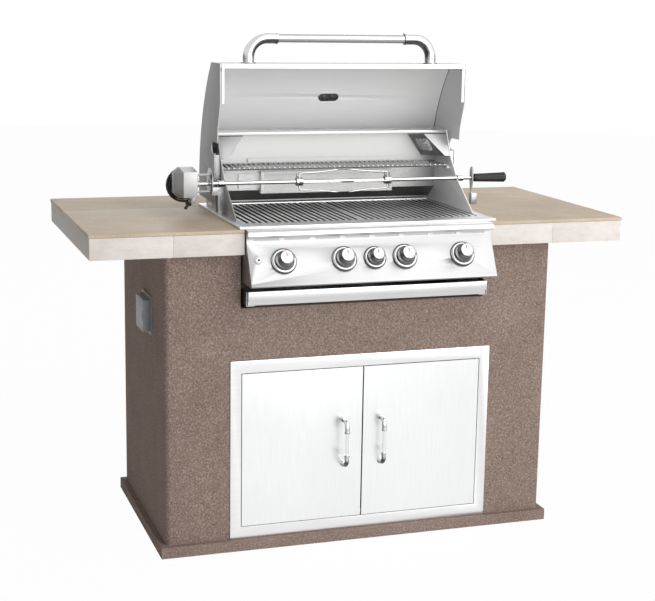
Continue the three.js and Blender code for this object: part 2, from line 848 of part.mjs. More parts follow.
// Front rail: a rolled nose under the deck's edge, open at the back, with end caps
function frontRail() {
  const nose = [-1, -2, -3, -4].map((step) => {
    const turn = Math.PI / 2 - step * Math.PI / 8;
    return [railRound * Math.cos(turn) - railProud + railRound, railTop - railRound + railRound * Math.sin(turn)];
  });
  const line = [
    [railBack, railTop], [-railProud + railRound, railTop], ...nose,
    [-railProud + railNose, railUnderside], [railBack, railUnderside]];
  const caps = [-1, 1].map((side) => {
    const xs = [side * panelHalfWidth, side * (panelHalfWidth - sheet)].sort((a, b) => a - b);
    return alongX(outline(line), ...xs);
  });
  return join(alongX(bentSheet(line), -panelHalfWidth, panelHalfWidth), ...caps);
}
place('front_rail', frontRail(), brushed);

// Control panel: a bent face hung by tabs under the rail, with side plates, bezels and switch rim
const bezelShares = [[1, -0.12], [1, 0.4], [0.94, 0.75], [0.84, 1]];

function bezel(share) {
  const outer = (knobRadius + bezelWidth) * share;
  const inner = knobRadius * share + running;
  const profile = bezelShares.map(([r, h]) => [outer * r, bezelHeight * h]);
  return turned([...profile, [inner, bezelHeight], [inner, profile[0][1]], profile[0]], 'z', 16);
}

function controlPanel() {
  const lipY0 = panelBottomY;
  const profile = [
    [panelTopY, railUnderside - seat], [panelTopY, panelTopZ],
    [lipY0 + lipRound, panelBottomZ + lipRound], [lipY0, panelBottomZ - lipRound / 2],
    [lipY0 + lipRound, panelBottomZ - 1.5 * lipRound], [lipY0 + panelLip, panelBottomZ - 1.5 * lipRound]];
  const face = alongX(bentSheet(profile), -panelHalfWidth, panelHalfWidth);
  const side = alongX([
    [panelReturn, railUnderside - seat], ...profile, [panelReturn, panelBottomZ - 1.5 * lipRound],
  ], panelHalfWidth - sheet, panelHalfWidth);
  const openings = [];
  for (let i = 1; i < ventTabs; i += 1) {
    const x0 = (i - (ventTabs + 1) / 2) * ventTabPitch + ventTabWidth / 2;
    openings.push(block(x0, x0 + ventTabPitch - ventTabWidth,
      panelTopY - overrun, panelTopY + overrun, panelTopZ + ventSill, railUnderside + overrun));
  }
  // Each bezel's facets are turned a little from its neighbours', so no corners line up across them.
  const facetTurn = (i) => (i + 1) * bezelFacetTurn;
  const bezels = knobs.map((x, i) => onPanel(
    bezel(x === 0 ? smallKnobShare : 1).rotateZ(facetTurn(i)), x, knobAlong));
  const bores = knobs.map((x, i) => onPanel(
    rod([0, 0, -overrun], [0, 0, overrun], stemRadius + running, 10).rotateZ(facetTurn(i)), x, knobAlong));
  const rim = onPanel(rod([0, 0, -switchDepth], [0, 0, switchRim],
    switchRadius + seat + switchRim, 16), switchX, switchAlong);
  const switchBore = onPanel(rod([0, 0, -switchDepth - overrun], [0, 0, overrun],
    switchRadius + seat, 16), switchX, switchAlong);
  return cut(join(face, side, mirrored(side), rim, ...bezels), ...bores, switchBore, ...openings);
}
place('control_panel', controlPanel(), brushed);

// Knobs: stepped caps, each on a valve stem that comes up through its bezel
const knobShares = [[0, 0], [0.97, 0], [1, 0.05], [1, 0.3], [0.93, 0.36], [0.8, 0.42],
  [0.76, 0.9], [0.68, 1], [0.6, 0.96], [0, 0.96]];

function knob(share) {
  const height = knobHeight - knobLift;
  const cap = turned(knobShares.map(([r, h]) => [knobRadius * share * r, knobLift + height * h]), 'z', 20);
  const socket = rod([0, 0, -overrun], [0, 0, stemReach + seat], stemRadius + seat, 10);
  return cut(cap, socket);
}
knobs.forEach((x, i) => {
  const mesh = place(`knob_${i + 1}`, knob(x === 0 ? smallKnobShare : 1), polished);
  mesh.position.set(x, ...panelPoint(knobAlong, 0));
  mesh.rotation.x = panelTilt;
});

const button = place('light_switch', turned([
  [0, -switchDepth], [switchRadius, -switchDepth], [switchRadius, switchHeight - switchRim / 2],
  [switchRadius - switchRim / 2, switchHeight], [0, switchHeight]], 'z', 20), polished);
button.position.set(switchX, ...panelPoint(switchAlong, 0));
button.rotation.x = panelTilt;

// Gas manifold: capped pipe, five valves with their stems, spuds to the burners, wall straps
function manifold() {
  const [pipeY, pipeZ] = panelPoint(knobAlong, -manifoldSet);
  const pipe = rod([-manifoldHalfWidth, pipeY, pipeZ], [manifoldHalfWidth, pipeY, pipeZ], manifoldRadius, 10);
  const valves = knobs.flatMap((x) => [
    onPanel(rod([0, 0, -manifoldSet], [0, 0, -valveStart], valveRadius, 6), x, knobAlong),
    onPanel(rod([0, 0, -manifoldSet], [0, 0, stemReach], stemRadius, 6), x, knobAlong),
  ]);
  const spuds = burners.map((x) => rod([x, pipeY, burnerZ], [x, venturiFront + spudReach, burnerZ], spudRadius));
  const straps = [-strapX, strapX].map((x) => block(x - strapWidth / 2, x + strapWidth / 2,
    pipeY, fireboxFront - seat, pipeZ - strapThickness / 2, pipeZ + strapThickness / 2));
  return join(pipe, ...valves, ...spuds, ...straps);
}
place('gas_manifold', manifold(), galvanised);

// Burners and heat plates, one pair for each outer valve
burners.forEach((x, i) => {
  const tube = turned([
    [0, venturiFront + venturiRadius], [venturiRadius - venturiWall, venturiFront + venturiRadius],
    [venturiRadius - venturiWall, venturiFront], [venturiRadius, venturiFront],
    [venturiRadius, burnerFront - burnerRadius / 2], [burnerRadius, burnerFront],
    [burnerRadius, burnerBack], [0, burnerBack]], 'y', 14);
  place(`burner_${i + 1}`, tube, castIron).position.set(x, 0, burnerZ);

  const ridge = bentSheet([
    [plateHalfWidth, sheet], [plateHalfWidth - plateFoot, sheet], [0, plateRise],
    [-plateHalfWidth + plateFoot, sheet], [-plateHalfWidth, sheet]]);
  const plate = alongY(ridge, fireboxFront + sheet + plateEndGap, fireboxBack - plateEndGap);
  place(`heat_plate_${i + 1}`, plate, brushed).position.set(x, 0, plateLedge + seat);
});

// Grates: two sections of tapered bars on cross rails
function grate() {
  const [x0, x1] = [grateGap, deckOpeningHalfWidth - grateEndGap];
  const [y0, y1] = [deckOpeningFront + grateEndGap, deckOpeningBack - grateEndGap];
  const low = grateLedge + seat;
  const barLow = low + grateRailHeight - grateBarSink;
  const pitch = (x1 - x0 - grateBarTop) / (grateBars - 1);
  const bars = Array.from({ length: grateBars }, (_, i) => {
    const x = x0 + grateBarTop / 2 + i * pitch;
    return alongY([
      [x - grateBarFoot / 2, barLow], [x + grateBarFoot / 2, barLow],
      [x + grateBarTop / 2, barLow + grateBarHeight], [x - grateBarTop / 2, barLow + grateBarHeight],
    ], y0, y1);
  });
  const rails = [y0, y1 - grateRailWidth].map((y) => block(
    x0 + grateBarFoot / 2, x1 - grateBarFoot / 2, y, y + grateRailWidth, low, low + grateRailHeight));
  return join(...rails, ...bars);
}
place('grate_right', grate(), brushed);
place('grate_left', mirrored(grate()), brushed);

// Drip tray: a pan on the firebox runners, with a channel fascia that serves as its pull
function dripTray() {
  const half = trayHalfWidth;
  const pan = cut(
    block(-half, half, trayFront, trayBack, trayBottom, trayRim),
    block(-half + sheet, half - sheet, trayFront + sheet, trayBack - sheet, trayBottom + sheet,
      trayRim + overrun));
  const faceWall = block(-half, half, trayFront, trayFront + sheet, trayBottom, fasciaTop);
  const channel = alongX(bentSheet([
    [trayFront + sheet / 2, fasciaTop], [fasciaFront, fasciaTop],
    [fasciaFront, fasciaBottom], [trayFront + sheet / 2, fasciaBottom]]), -half, half);
  return join(pan, faceWall, channel);
}
place('drip_tray', dripTray(), brushed);

// Wind guards: plates beside the grill, with the spit's cradle, hinge post, hinge stud, rack pins
function cheek() {
  const plate = alongX([
    [cheekTipY, deckRest], [cheekKneeY, cheekKneeZ], [cheekHipY, cheekHipZ], [lipY, housingTop],
    [housingShoulder, housingTop], [housingBack, housingHipZ], [housingBack, deckRest],
  ], cheekInner, cheekOuter);
  const slope = new THREE.Vector2(cheekHipY - cheekKneeY, cheekHipZ - cheekKneeZ).normalize();
  const cradleRadius = spitRadius + cradlePlay;
  const [across, out] = [slope.clone().multiplyScalar(cradleRadius), new THREE.Vector2(-slope.y, slope.x)
    .multiplyScalar(overrun + cradleRadius)];
  const mouth = alongX([
    [spitY - across.x, spitZ - across.y], [spitY + across.x, spitZ + across.y],
    [spitY + across.x + out.x, spitZ + across.y + out.y],
    [spitY - across.x + out.x, spitZ - across.y + out.y],
  ], cheekInner - overrun, cheekOuter + overrun);
  const cradle = rod([cheekInner - overrun, spitY, spitZ], [cheekOuter + overrun, spitY, spitZ],
    cradleRadius, 16);
  const post = cut(
    block(cheekOuter - sheet, postOuter, postFront, postFront + postDepth, deckRest, postTop),
    block(cheekOuter, postOuter - sheet, postFront + sheet, postFront + postDepth - sheet,
      deckRest - overrun, postTop + overrun));
  const headX = hoodHalfWidth + seat;
  const stud = rod([cheekOuter - sheet, hingeY, hingeZ], [headX + studHeadThickness / 2, hingeY, hingeZ],
    studRadius, 14);
  const head = rod([headX, hingeY, hingeZ], [headX + studHeadThickness, hingeY, hingeZ], studHead, 16);
  const pinZ = rackZ - rackRodRadius * 2 - seat;
  const pins = [rackFront, rackBack].map((y) => rod([cheekInner - rackPin, y, pinZ],
    [cheekInner + sheet, y, pinZ], rackRodRadius));
  return join(cut(plate, cradle, mouth), post, stud, head, ...pins);
}
place('cheek_right', cheek(), brushed);
place('cheek_left', mirrored(cheek()), brushed);

// Rear housing: bent cover with a front lip, and the inner rear panel with its stiffening rib
place('rear_housing', alongX(bentSheet([
  [housingBack, deckRest], [housingBack, housingHipZ], [housingShoulder, housingTop],
  [lipY, housingTop], [lipY, housingTop - lipHeight]]), -betweenCheeks, betweenCheeks), brushed);

function rearPanel() {
  const back = alongX(bentSheet([
    [rearPanelY, housingTop - sheet - seat], [rearPanelY, rearPanelHipZ],
    [rearPanelKneeY, rearPanelKneeZ], [rearPanelFoot, deckRest + seat]], sheet / 2),
  -betweenCheeks, betweenCheeks);
  const rib = block(-ribHalfWidth, ribHalfWidth, rearPanelY - ribProud, rearPanelY,
    ribBottom, ribBottom + ribHeight);
  const ledge = block(-deckOpeningHalfWidth, deckOpeningHalfWidth, rearPanelKneeY - ledgeBarDepth,
    rearPanelKneeY + sheet / 2, rearPanelKneeZ - ledgeBarHeight, rearPanelKneeZ);
  return join(back, rib, ledge);
}
place('rear_panel', rearPanel(), brushed);

// Lamps: wedge housings in the upper rear corners, with glass set in their slanted faces
const lampCorners = [
  [lampTopX, lipY - sheet, lampFaceTop], [lampBackTopX, rearPanelY - seat, lampFaceTop],
  [lampBackBottomX, rearPanelY - seat, lampBackBottom], [lampFrontX, cheekHipY, cheekHipZ],
].map((p) => new THREE.Vector3(...p));

function lensSolid(halfWidth, halfHeight, corner, depth, proud) {
  const [top, backTop, backBottom] = lampCorners;
  const along = backTop.clone().sub(top).normalize();
  const out = new THREE.Vector3().crossVectors(along, backBottom.clone().sub(top)).normalize();
  const down = new THREE.Vector3().crossVectors(out, along);
  const middle = lampCorners.reduce((sum, p) => sum.add(p), new THREE.Vector3())
    .multiplyScalar(1 / lampCorners.length);
  const plane = new THREE.Matrix4().makeBasis(along, down, out).setPosition(middle);
  return extruded(rounded(-halfWidth, halfWidth, -halfHeight, halfHeight, corner), depth + proud)
    .translate(0, 0, -depth).applyMatrix4(plane);
}

function lampHousing() {
  const rear = rearPanelY - seat;
  const hull = new ConvexGeometry([
    ...lampCorners,
    new THREE.Vector3(betweenCheeks, cheekHipY, cheekHipZ),
    new THREE.Vector3(betweenCheeks, lipY - sheet, lampFaceTop),
    new THREE.Vector3(betweenCheeks, rear, lampFaceTop),
    new THREE.Vector3(betweenCheeks, rear, lampBackBottom),
  ]);
  return cut(hull, lensSolid(lensWidth / 2 + seat, lensHeight / 2 + seat, lensCorner, lensRecess, overrun));
}
const lens = lensSolid(lensWidth / 2, lensHeight / 2, lensCorner, lensRecess - seat, lensProud);
place('lamp_housing_right', lampHousing(), brushed);
place('lamp_housing_left', mirrored(lampHousing()), brushed);
place('lamp_lens_right', lens, glass);
place('lamp_lens_left', mirrored(lens), glass);

// Warming rack: wires across two long rods, resting on the pins of the wind guards
function warmingRack() {
  const half = cheekInner - rackEndGap;
  const rods = [rackFront, rackBack].map((y) => rod([-half, y, rackZ], [half, y, rackZ], rackRodRadius, 4));
  const pitch = 2 * half / (rackWires + 1);
  const wires = Array.from({ length: rackWires }, (_, i) => {
    const x = -half + (i + 1) * pitch;
    return rod([x, rackFront - rackRodRadius, rackZ + rackRodRadius],
      [x, rackBack + rackRodRadius, rackZ + rackRodRadius], wireRadius, 4);
  });
  return join(...rods, ...wires);
}
place('warming_rack', warmingRack(), polished);

// Rear burner: ceramic faced box on tabs across the rear panel
function rearBurner() {
  const back = rearPanelY - seat;
  const box = block(-rearBurnerHalfWidth, rearBurnerHalfWidth, back - rearBurnerDepth, back,
    rearBurnerBottom, rearBurnerTop);
  const face = block(-rearBurnerHalfWidth + rearBurnerRim, rearBurnerHalfWidth - rearBurnerRim,
    back - rearBurnerDepth - overrun, back - rearBurnerDepth + rearBurnerRecess,
    rearBurnerBottom + rearBurnerRim, rearBurnerTop - rearBurnerRim);
  const tabs = block(-leftTabX, rightTabX, back - burnerTab, back,
    rearPanelHipZ + tabInset, rearBurnerTop - tabInset);
  return join(cut(box, face), tabs);
}
place('rear_burner', rearBurner(), ceramic);

// Hood: a group on the hinge, turned from its closed place to its open one
const hood = new THREE.Group();
hood.position.set(0, hingeY, hingeZ);
hood.rotation.x = hoodOpenTurn;
island.add(hood);

function placeOnHood(name, geometry, material) {
  place(name, geometry, material, hood).position.set(0, -hingeY, -hingeZ);
}

const chord = new THREE.Vector2(hoodRearY - hoodFront, hoodRearZ - stripTop);
const sagitta = Math.sqrt(hoodArcRadius ** 2 - (chord.length() / 2) ** 2);
const arcCentre = new THREE.Vector2(hoodFront + hoodRearY, stripTop + hoodRearZ).multiplyScalar(1 / 2)
  .add(new THREE.Vector2(chord.y, -chord.x).setLength(sagitta));

function hoodCurve(radius, yStart, yEnd) {
  const [a, b] = [yStart, yEnd].map((y) => Math.acos((arcCentre.x - y) / radius));
  return Array.from({ length: hoodArcSteps + 1 }, (_, i) => {
    const turn = a + (b - a) * (i / hoodArcSteps);
    return [arcCentre.x - radius * Math.cos(turn), arcCentre.y + radius * Math.sin(turn)];
  });
}

function hoodShell() {
  const notch = Array.from({ length: notchSteps + 1 }, (_, i) => {
    const turn = Math.PI * (1 - i / notchSteps);
    return [spitY + notchRadius * Math.cos(turn), spitZ + notchRadius * Math.sin(turn)];
  });
  const sideShape = [
    [hoodFront, hoodBottom], [hoodKneeY, hoodKneeZ], [hoodRampY, hoodRampZ],
    [spitY - notchRadius, notchLipZ], ...notch, [spitY + notchRadius, hoodHeelZ],
    [hoodHeelY, hoodHeelZ], ...hoodCurve(hoodArcRadius, hoodFront, hoodRearY).reverse()];
  const inner = hoodCurve(hoodArcRadius - hoodSkin, hoodFront + hoodSkin, hoodRearY);
  const cavityShape = [
    [hoodFront + hoodSkin, hoodBottom - overrun], ...inner,
    [hoodHeelY + overrun, inner[hoodArcSteps][1]], [hoodHeelY + overrun, hoodBottom - overrun]];
  const [x0, x1] = [hoodHalfWidth - hoodSide, hoodHalfWidth];
  const skin = cut(alongX(sideShape, -x1, x1), alongX(cavityShape, -x0, x0));
  const sideFlange = block(x1 - hoodFlange, x1, hoodFront, hoodKneeY, hoodBottom, hoodBottom + hoodSide);
  const frontFlange = block(-x1, x1, hoodFront, hoodFront + hoodFlange, hoodBottom, hoodBottom + hoodSide);
  const bumperX = x1 - hoodFlange / 2;
  const bumper = rod([bumperX, bumperY, deckRest + bumperLift], [bumperX, bumperY, hoodBottom + hoodSide],
    bumperRadius, 12);
  const studBore = rod([-x1 - overrun, hingeY, hingeZ], [x1 + overrun, hingeY, hingeZ], studRadius + seat, 18);
  return cut(
    join(skin, sideFlange, mirrored(sideFlange), frontFlange, bumper, mirrored(bumper)),
    studBore, gaugePlaced(rod([0, 0, -overrun], [0, 0, overrun], gaugeStem + seat, 16)));
}

function hoodHandle() {
  const [footY, barY] = [hoodFront - seat, hoodFront - hoodHandleStand];
  const ends = [-1, 1].flatMap((side) => {
    const x = side * hoodHandleHalfSpan;
    const elbow = bentRod([
      [x, footY - hoodFootThickness / 2, hoodHandleZ],
      ...bend([x, barY, hoodHandleZ], [0, 1, 0], [-side, 0, 0], hoodElbowBend, 8),
      [side * hoodElbowEnd, barY, hoodHandleZ],
    ], hoodElbowRadius, 12, 9);
    const foot = rod([x, footY, hoodHandleZ], [x, footY - hoodFootThickness, hoodHandleZ], hoodFootRadius, 12);
    const collar = rod([side * (hoodElbowEnd - collarProud), barY, hoodHandleZ],
      [side * (hoodElbowEnd + collarLength), barY, hoodHandleZ], hoodElbowRadius + collarProud, 12);
    return [elbow, foot, collar];
  });
  const reach = hoodElbowEnd + collarLength;
  return join(rod([-reach, barY, hoodHandleZ], [reach, barY, hoodHandleZ], hoodHandleRadius, 12), ...ends);
}

// The gauge stands square on the hood's skin, its dial outside and its nuts inside.
function gaugePlaced(geometry) {
  const turn = Math.acos((arcCentre.x - gaugeY) / hoodArcRadius);
  return geometry.rotateX(Math.PI / 2 - turn)
    .translate(gaugeX, gaugeY, arcCentre.y + hoodArcRadius * Math.sin(turn));
}

function hoodGauge() {
  const dial = turned([
    [0, seat], [gaugeRadius, seat], [gaugeRadius, gaugeDepth - gaugePlateThickness],
    [gaugeRadius - gaugePlateThickness, gaugeDepth], [gaugeRadius - 2 * gaugePlateThickness, gaugeDepth],
    [gaugeRadius - 2 * gaugePlateThickness, gaugeDepth - gaugePlateThickness],
    [0, gaugeDepth - gaugePlateThickness]], 'z', 20);
  const inside = -hoodSkin - gaugeGap;
  const plate = extruded(rounded(-gaugePlateHalfWidth, gaugePlateHalfWidth, -gaugePlateHalfHeight,
    gaugePlateHalfHeight, gaugePlateHalfHeight - seat), gaugePlateThickness)
    .translate(0, 0, inside - gaugePlateThickness);
  const nuts = [-gaugeNutX, gaugeNutX].map((x) => rod([x, 0, inside - gaugePlateThickness / 2],
    [x, 0, inside - gaugePlateThickness - gaugeNutHeight], gaugeNutRadius, 6));
  const stem = rod([0, 0, inside - gaugePlateThickness / 2], [0, 0, gaugePlateThickness], gaugeStem, 14);
  return gaugePlaced(join(dial, plate, stem, ...nuts));
}
placeOnHood('hood_shell', hoodShell(), brushed);
placeOnHood('hood_handle', hoodHandle(), polished);
placeOnHood('hood_gauge', hoodGauge(), polished);

// Rotisserie motor: tapered housing on a base flange with cut corners, drive socket, gland boss on a
// riser, peg for the lead
function motorOutline(width) {
  const left = motorRight - width;
  return [
    [motorRight, motorBottom], [motorRight, motorTop], [left + motorCorner, motorTop],
    [left, motorTop - motorCorner], [left, motorBottom + motorCorner], [left + motorCorner, motorBottom],
  ];
}

function motorHousing() {
  const front = [motorFrontBottom, motorFrontTop].flatMap((z) => [
    [motorRight, motorFront, z], [motorRight - motorFrontWidth, motorFront, z]]);
  const shoulder = motorOutline(motorBackWidth).map(([x, z]) => [x, motorShoulder, z]);
  const housing = new ConvexGeometry([...front, ...shoulder].map((p) => new THREE.Vector3(...p)));
  const flange = new ConvexGeometry([motorShoulder - seat, motorBack].flatMap((y) => motorOutline(
    motorFlangeWidth).map(([x, z]) => new THREE.Vector3(x, y, z))));
  const socket = cut(
    rod([motorRight - socketReach / 2, spitY, spitZ], [motorRight + socketReach, spitY, spitZ], socketRadius, 18),
    rod([motorRight, spitY, spitZ], [motorRight + socketReach + overrun, spitY, spitZ],
      spitRadius + running, 18));
  const glandZ = coilZ - coilRadius;
  const bossX = glandX + glandLength;
  const boss = block(bossX, bossX + glandBossWidth, motorBack - glandBossDepth / 2,
    motorBack + glandBossDepth / 2 - running, glandZ - glandBossHeight / 2, glandZ + glandBossHeight / 2);
  const riser = block(bossX, bossX + glandBossWidth, motorBack - glandBossDepth / 2, motorBack,
    glandZ, motorBottom + glandBossHeight / 2);
  const gland = rod([glandX, layerY, glandZ], [bossX + seat, layerY, glandZ], glandRadius, 12);
  const pegZ = coilZ + coilRadius - coilPitch * coilTurnsIn - cordRadius - seat - pegRadius;
  const pegEnd = layerY + coilPitch + cordRadius + seat;
  const peg = rod([coilX, motorBack - overrun, pegZ], [coilX, pegEnd + pegHeadThickness, pegZ], pegRadius, 12);
  const head = rod([coilX, pegEnd, pegZ], [coilX, pegEnd + pegHeadThickness, pegZ], pegHead, 14);
  return join(housing, flange, socket, boss, riser, gland, peg, head);
}
place('rotisserie_motor', motorHousing(), galvanised);

// Motor bracket: upright on the deck, cross plate with the spit's hole, two standoffs
function motorBracket() {
  const upright = block(bracketX - sheet, -cheekOuter - seat, spitY - sheet / 2, spitY + sheet / 2,
    deckRest, bracketTabTop);
  const notchedFoot = block(bracketX - overrun, -deckHalfWidth, spitY - overrun, spitY + overrun,
    deckRest - overrun, bracketBottom);
  const cross = cut(
    alongX([
      [bracketFront + bracketCut, bracketBottom], [motorBack - bracketCut, bracketBottom],
      [motorBack, bracketBottom + bracketCut], [motorBack, bracketTop - bracketCut],
      [motorBack - bracketCut, bracketTop], [bracketFront + bracketCut, bracketTop],
      [bracketFront, bracketTop - bracketCut], [bracketFront, bracketBottom + bracketCut],
    ], bracketX - sheet, bracketX),
    rod([bracketX - overrun, spitY, spitZ], [bracketX + overrun, spitY, spitZ], bracketHole, 20));
  const clearHole = rod([bracketX - overrun, spitY, spitZ], [-cheekOuter, spitY, spitZ], bracketHole, 20);
  const standoffs = [standoffHigh, standoffLow].map((z) => rod([motorRight + seat, spitY, z],
    [bracketX - sheet / 2, spitY, z], standoffRadius));
  return join(cut(join(cut(upright, notchedFoot), cross), clearHole), ...standoffs);
}
place('motor_bracket', motorBracket(), galvanised);

// Spit: rod with its end bushes, two forks, weighted blade and black handle
function spit() {
  const shaft = rod([spitLeftX, spitY, spitZ], [spitRightX, spitY, spitZ], spitRadius, 12);
  const bushes = [-1, 1].map((side) => rod([side * (cheekOuter + running), spitY, spitZ],
    [side * bushEnd, spitY, spitZ], bushRadius, 16));
  return join(shaft, ...bushes);
}
place('spit_rod', spit(), polished);

function fork() {
  const half = forkHubLength / 2;
  const hub = rod([forkX - half, spitY, spitZ], [forkX + half, spitY, spitZ], forkHubRadius, 16);
  const tines = Array.from({ length: prongs }, (_, i) => {
    const turn = (2 * Math.PI * i) / prongs;
    const [cy, cz] = [Math.cos(turn), Math.sin(turn)];
    const at = (x, offset) => [x, spitY + offset * cy, spitZ + offset * cz];
    return bentRod([
      at(forkX, forkHubRadius - prongRadius),
      ...bend(at(forkX, prongOffset), [0, -cy, -cz], [-1, 0, 0], prongBend, 4),
      at(forkX - prongReach / 2, prongOffset + prongSpread / 4),
      at(forkX - prongReach, prongOffset + prongSpread),
    ], prongRadius, 5, 7);
  });
  const [sy, sz] = [Math.SQRT1_2, Math.SQRT1_2];
  const screw = rod([forkX, spitY + forkHubRadius * sy / 2, spitZ + forkHubRadius * sz / 2],
    [forkX, spitY + thumbScrewReach * sy, spitZ + thumbScrewReach * sz], thumbScrewRadius, 10);
  const bore = rod([forkX - forkHubLength, spitY, spitZ], [forkX + forkHubLength, spitY, spitZ],
    spitRadius + seat, 18);
  return cut(join(hub, screw, ...tines), bore);
}
place('spit_fork_right', fork(), polished);
place('spit_fork_left', mirrored(fork()), polished);

const gripShares = [[0, 0.92, 0], [0.04, 1, 0], [0.1, 1, 1], [0.9, 1, 1], [0.96, 1, 0], [1, 0.8, 0]];

function spitHandle() {
  const collarX = bladeX + bladeThickness + seat;
  const gripX = collarX + gripCollarLength;
  const count = 4 * gripFlutes;
  const rings = gripShares.map(([share, size, flute]) => {
    const radius = size * (gripSmallRadius + (gripLargeRadius - gripSmallRadius) * share);
    return Array.from({ length: count }, (_, i) => {
      const turn = (2 * Math.PI * i) / count;
      const r = radius * (1 - flute * fluteShare * (1 - Math.cos(gripFlutes * turn)));
      return [gripX + (gripEnd - gripX) * share, spitY + r * Math.cos(turn), spitZ + r * Math.sin(turn)];
    });
  });
  const collar = rod([collarX, spitY, spitZ], [gripX + seat, spitY, spitZ], gripCollarRadius, 16);
  const bore = rod([collarX - overrun, spitY, spitZ], [collarX + gripBore, spitY, spitZ],
    spitRadius + seat, 16);
  return cut(join(loft(rings), collar), bore);
}
place('spit_handle', spitHandle(), blackPlastic);

function counterbalance() {
  const blade = alongX([
    [spitY - neckHalfWidth, weightTop - seat], [spitY + neckHalfWidth, weightTop - seat],
    [spitY + neckHalfWidth, bladeTip], [spitY + bladeHalfWidth, spitZ - bladeHalfWidth],
    [spitY + bladeHalfWidth, bladeTop - bladeHalfWidth], [spitY + neckHalfWidth, bladeTop],
    [spitY - neckHalfWidth, bladeTop], [spitY - bladeHalfWidth, bladeTop - bladeHalfWidth],
    [spitY - bladeHalfWidth, spitZ - bladeHalfWidth], [spitY - neckHalfWidth, bladeTip],
  ], bladeX, bladeX + bladeThickness);
  const weight = block(bladeX, bladeX + weightWidth, spitY - weightDepth / 2, spitY + weightDepth / 2,
    weightBottom, weightTop);
  const bore = rod([bladeX - overrun, spitY, spitZ], [bladeX + overrun, spitY, spitZ], spitRadius + seat, 18);
  return cut(join(blade, weight), bore);
}
place('counterbalance', counterbalance(), brushed);

// Motor lead: a short straight run, then two piled layers of turns, its tail ending in a plug
const leadZ = coilZ - coilRadius;
const straight = 2 * cordRadius;

function sweptRound(points, radius, sides) {
  const path = points.map((p) => new THREE.Vector3(...p));
  const rings = path.map((point, i) => {
    const before = path[Math.max(i - 1, 0)];
    const after = path[Math.min(i + 1, path.length - 1)];
    const along = after.clone().sub(before).normalize();
    const side = new THREE.Vector3(0, 1, 0).cross(along).normalize();
    const up = along.clone().cross(side);
    return Array.from({ length: sides }, (_, k) => {
      const turn = (2 * Math.PI * k) / sides;
      return point.clone().addScaledVector(side, radius * Math.cos(turn))
        .addScaledVector(up, radius * Math.sin(turn)).toArray();
    });
  });
  return loft(rings);
}

function coilPath() {
  const turns = coilTurnsIn + coilTurnsOut;
  const steps = Math.round(turns * coilStepsPerTurn);
  const points = [[coilX + straight, layerY, leadZ]];
  let heading;
  for (let i = 0; i <= steps; i += 1) {
    const t = turns * (i / steps);
    const turn = THREE.MathUtils.degToRad(coilStartDegrees) - 2 * Math.PI * t;
    const radius = coilRadius - coilPitch * (coilTurnsIn - Math.abs(coilTurnsIn - t));
    const climb = THREE.MathUtils.clamp((t - coilTurnsIn) / coilClimbTurns + 1 / 2, 0, 1);
    const peel = THREE.MathUtils.smoothstep(t, turns - coilPeelTurns, turns);
    const y = layerY + coilPitch * climb + (tailY - layerY - coilPitch) * peel;
    points.push([coilX + radius * Math.cos(turn), y, coilZ + radius * Math.sin(turn)]);
    heading = [Math.sin(turn), -Math.cos(turn)];
  }
  const end = points[points.length - 1];
  points.push([end[0] + straight * heading[0], end[1], end[2] + straight * heading[1]]);
  return { points, heading };
}

function leastGap(points, skip) {
  let least = Infinity;
  points.forEach((p, i) => points.slice(i + skip).forEach((q) => {
    least = Math.min(least, Math.hypot(p[0] - q[0], p[1] - q[1], p[2] - q[2]));
  }));
  return least - 2 * cordRadius;
}

const leadShares = [0, 0.25, 0.5, 0.75, 1];
const coil = coilPath();
console.log(`least gap in the coil: ${leastGap(coil.points, coilStepsPerTurn / 2).toFixed(2)} mm`);
place('motor_cord', sweptRound(leadShares.map((share) => [
  glandX - seat + (coilX + straight + seat - glandX + seat) * share, layerY, leadZ,
]), cordRadius, coilSides + 2), blackPlastic);
place('cord_coil', sweptRound(coil.points, cordRadius, coilSides), blackPlastic);

function plug() {
  const body = turned([
    [0, 0], [plugNeckRadius, 0], [plugNeckRadius, plugNeckLength],
    [plugRadius - plugNeckRadius / 2, plugNeckLength + plugNeckRadius],
    [plugRadius, plugNeckLength + plugRadius], [plugRadius, plugNeckLength + plugLength],
    [0, plugNeckLength + plugLength]], 'x', 18);
  const [low, high] = [plugNeckLength + plugLength - seat, plugNeckLength + plugLength + plugBladeLength];
  const blades = [-plugBladeX, plugBladeX].map((y) => block(low, high,
    y - plugBladeThickness / 2, y + plugBladeThickness / 2, -plugBladeWidth / 2, plugBladeWidth / 2));
  return join(body, ...blades);
}
const tail = coil.points[coil.points.length - 1];
const plugMesh = place('cord_plug', plug(), blackPlastic);
plugMesh.position.set(tail[0] + seat * coil.heading[0], tail[1], tail[2] + seat * coil.heading[1]);
plugMesh.rotation.y = -Math.atan2(coil.heading[1], coil.heading[0]);

// The whole island is centred fore and aft on its own extent.
const extent = new THREE.Box3().setFromObject(island, true);
island.position.y = -(extent.min.y + extent.max.y) / 2;

export default island;
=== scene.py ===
import math

import bpy
from mathutils import Matrix, Vector


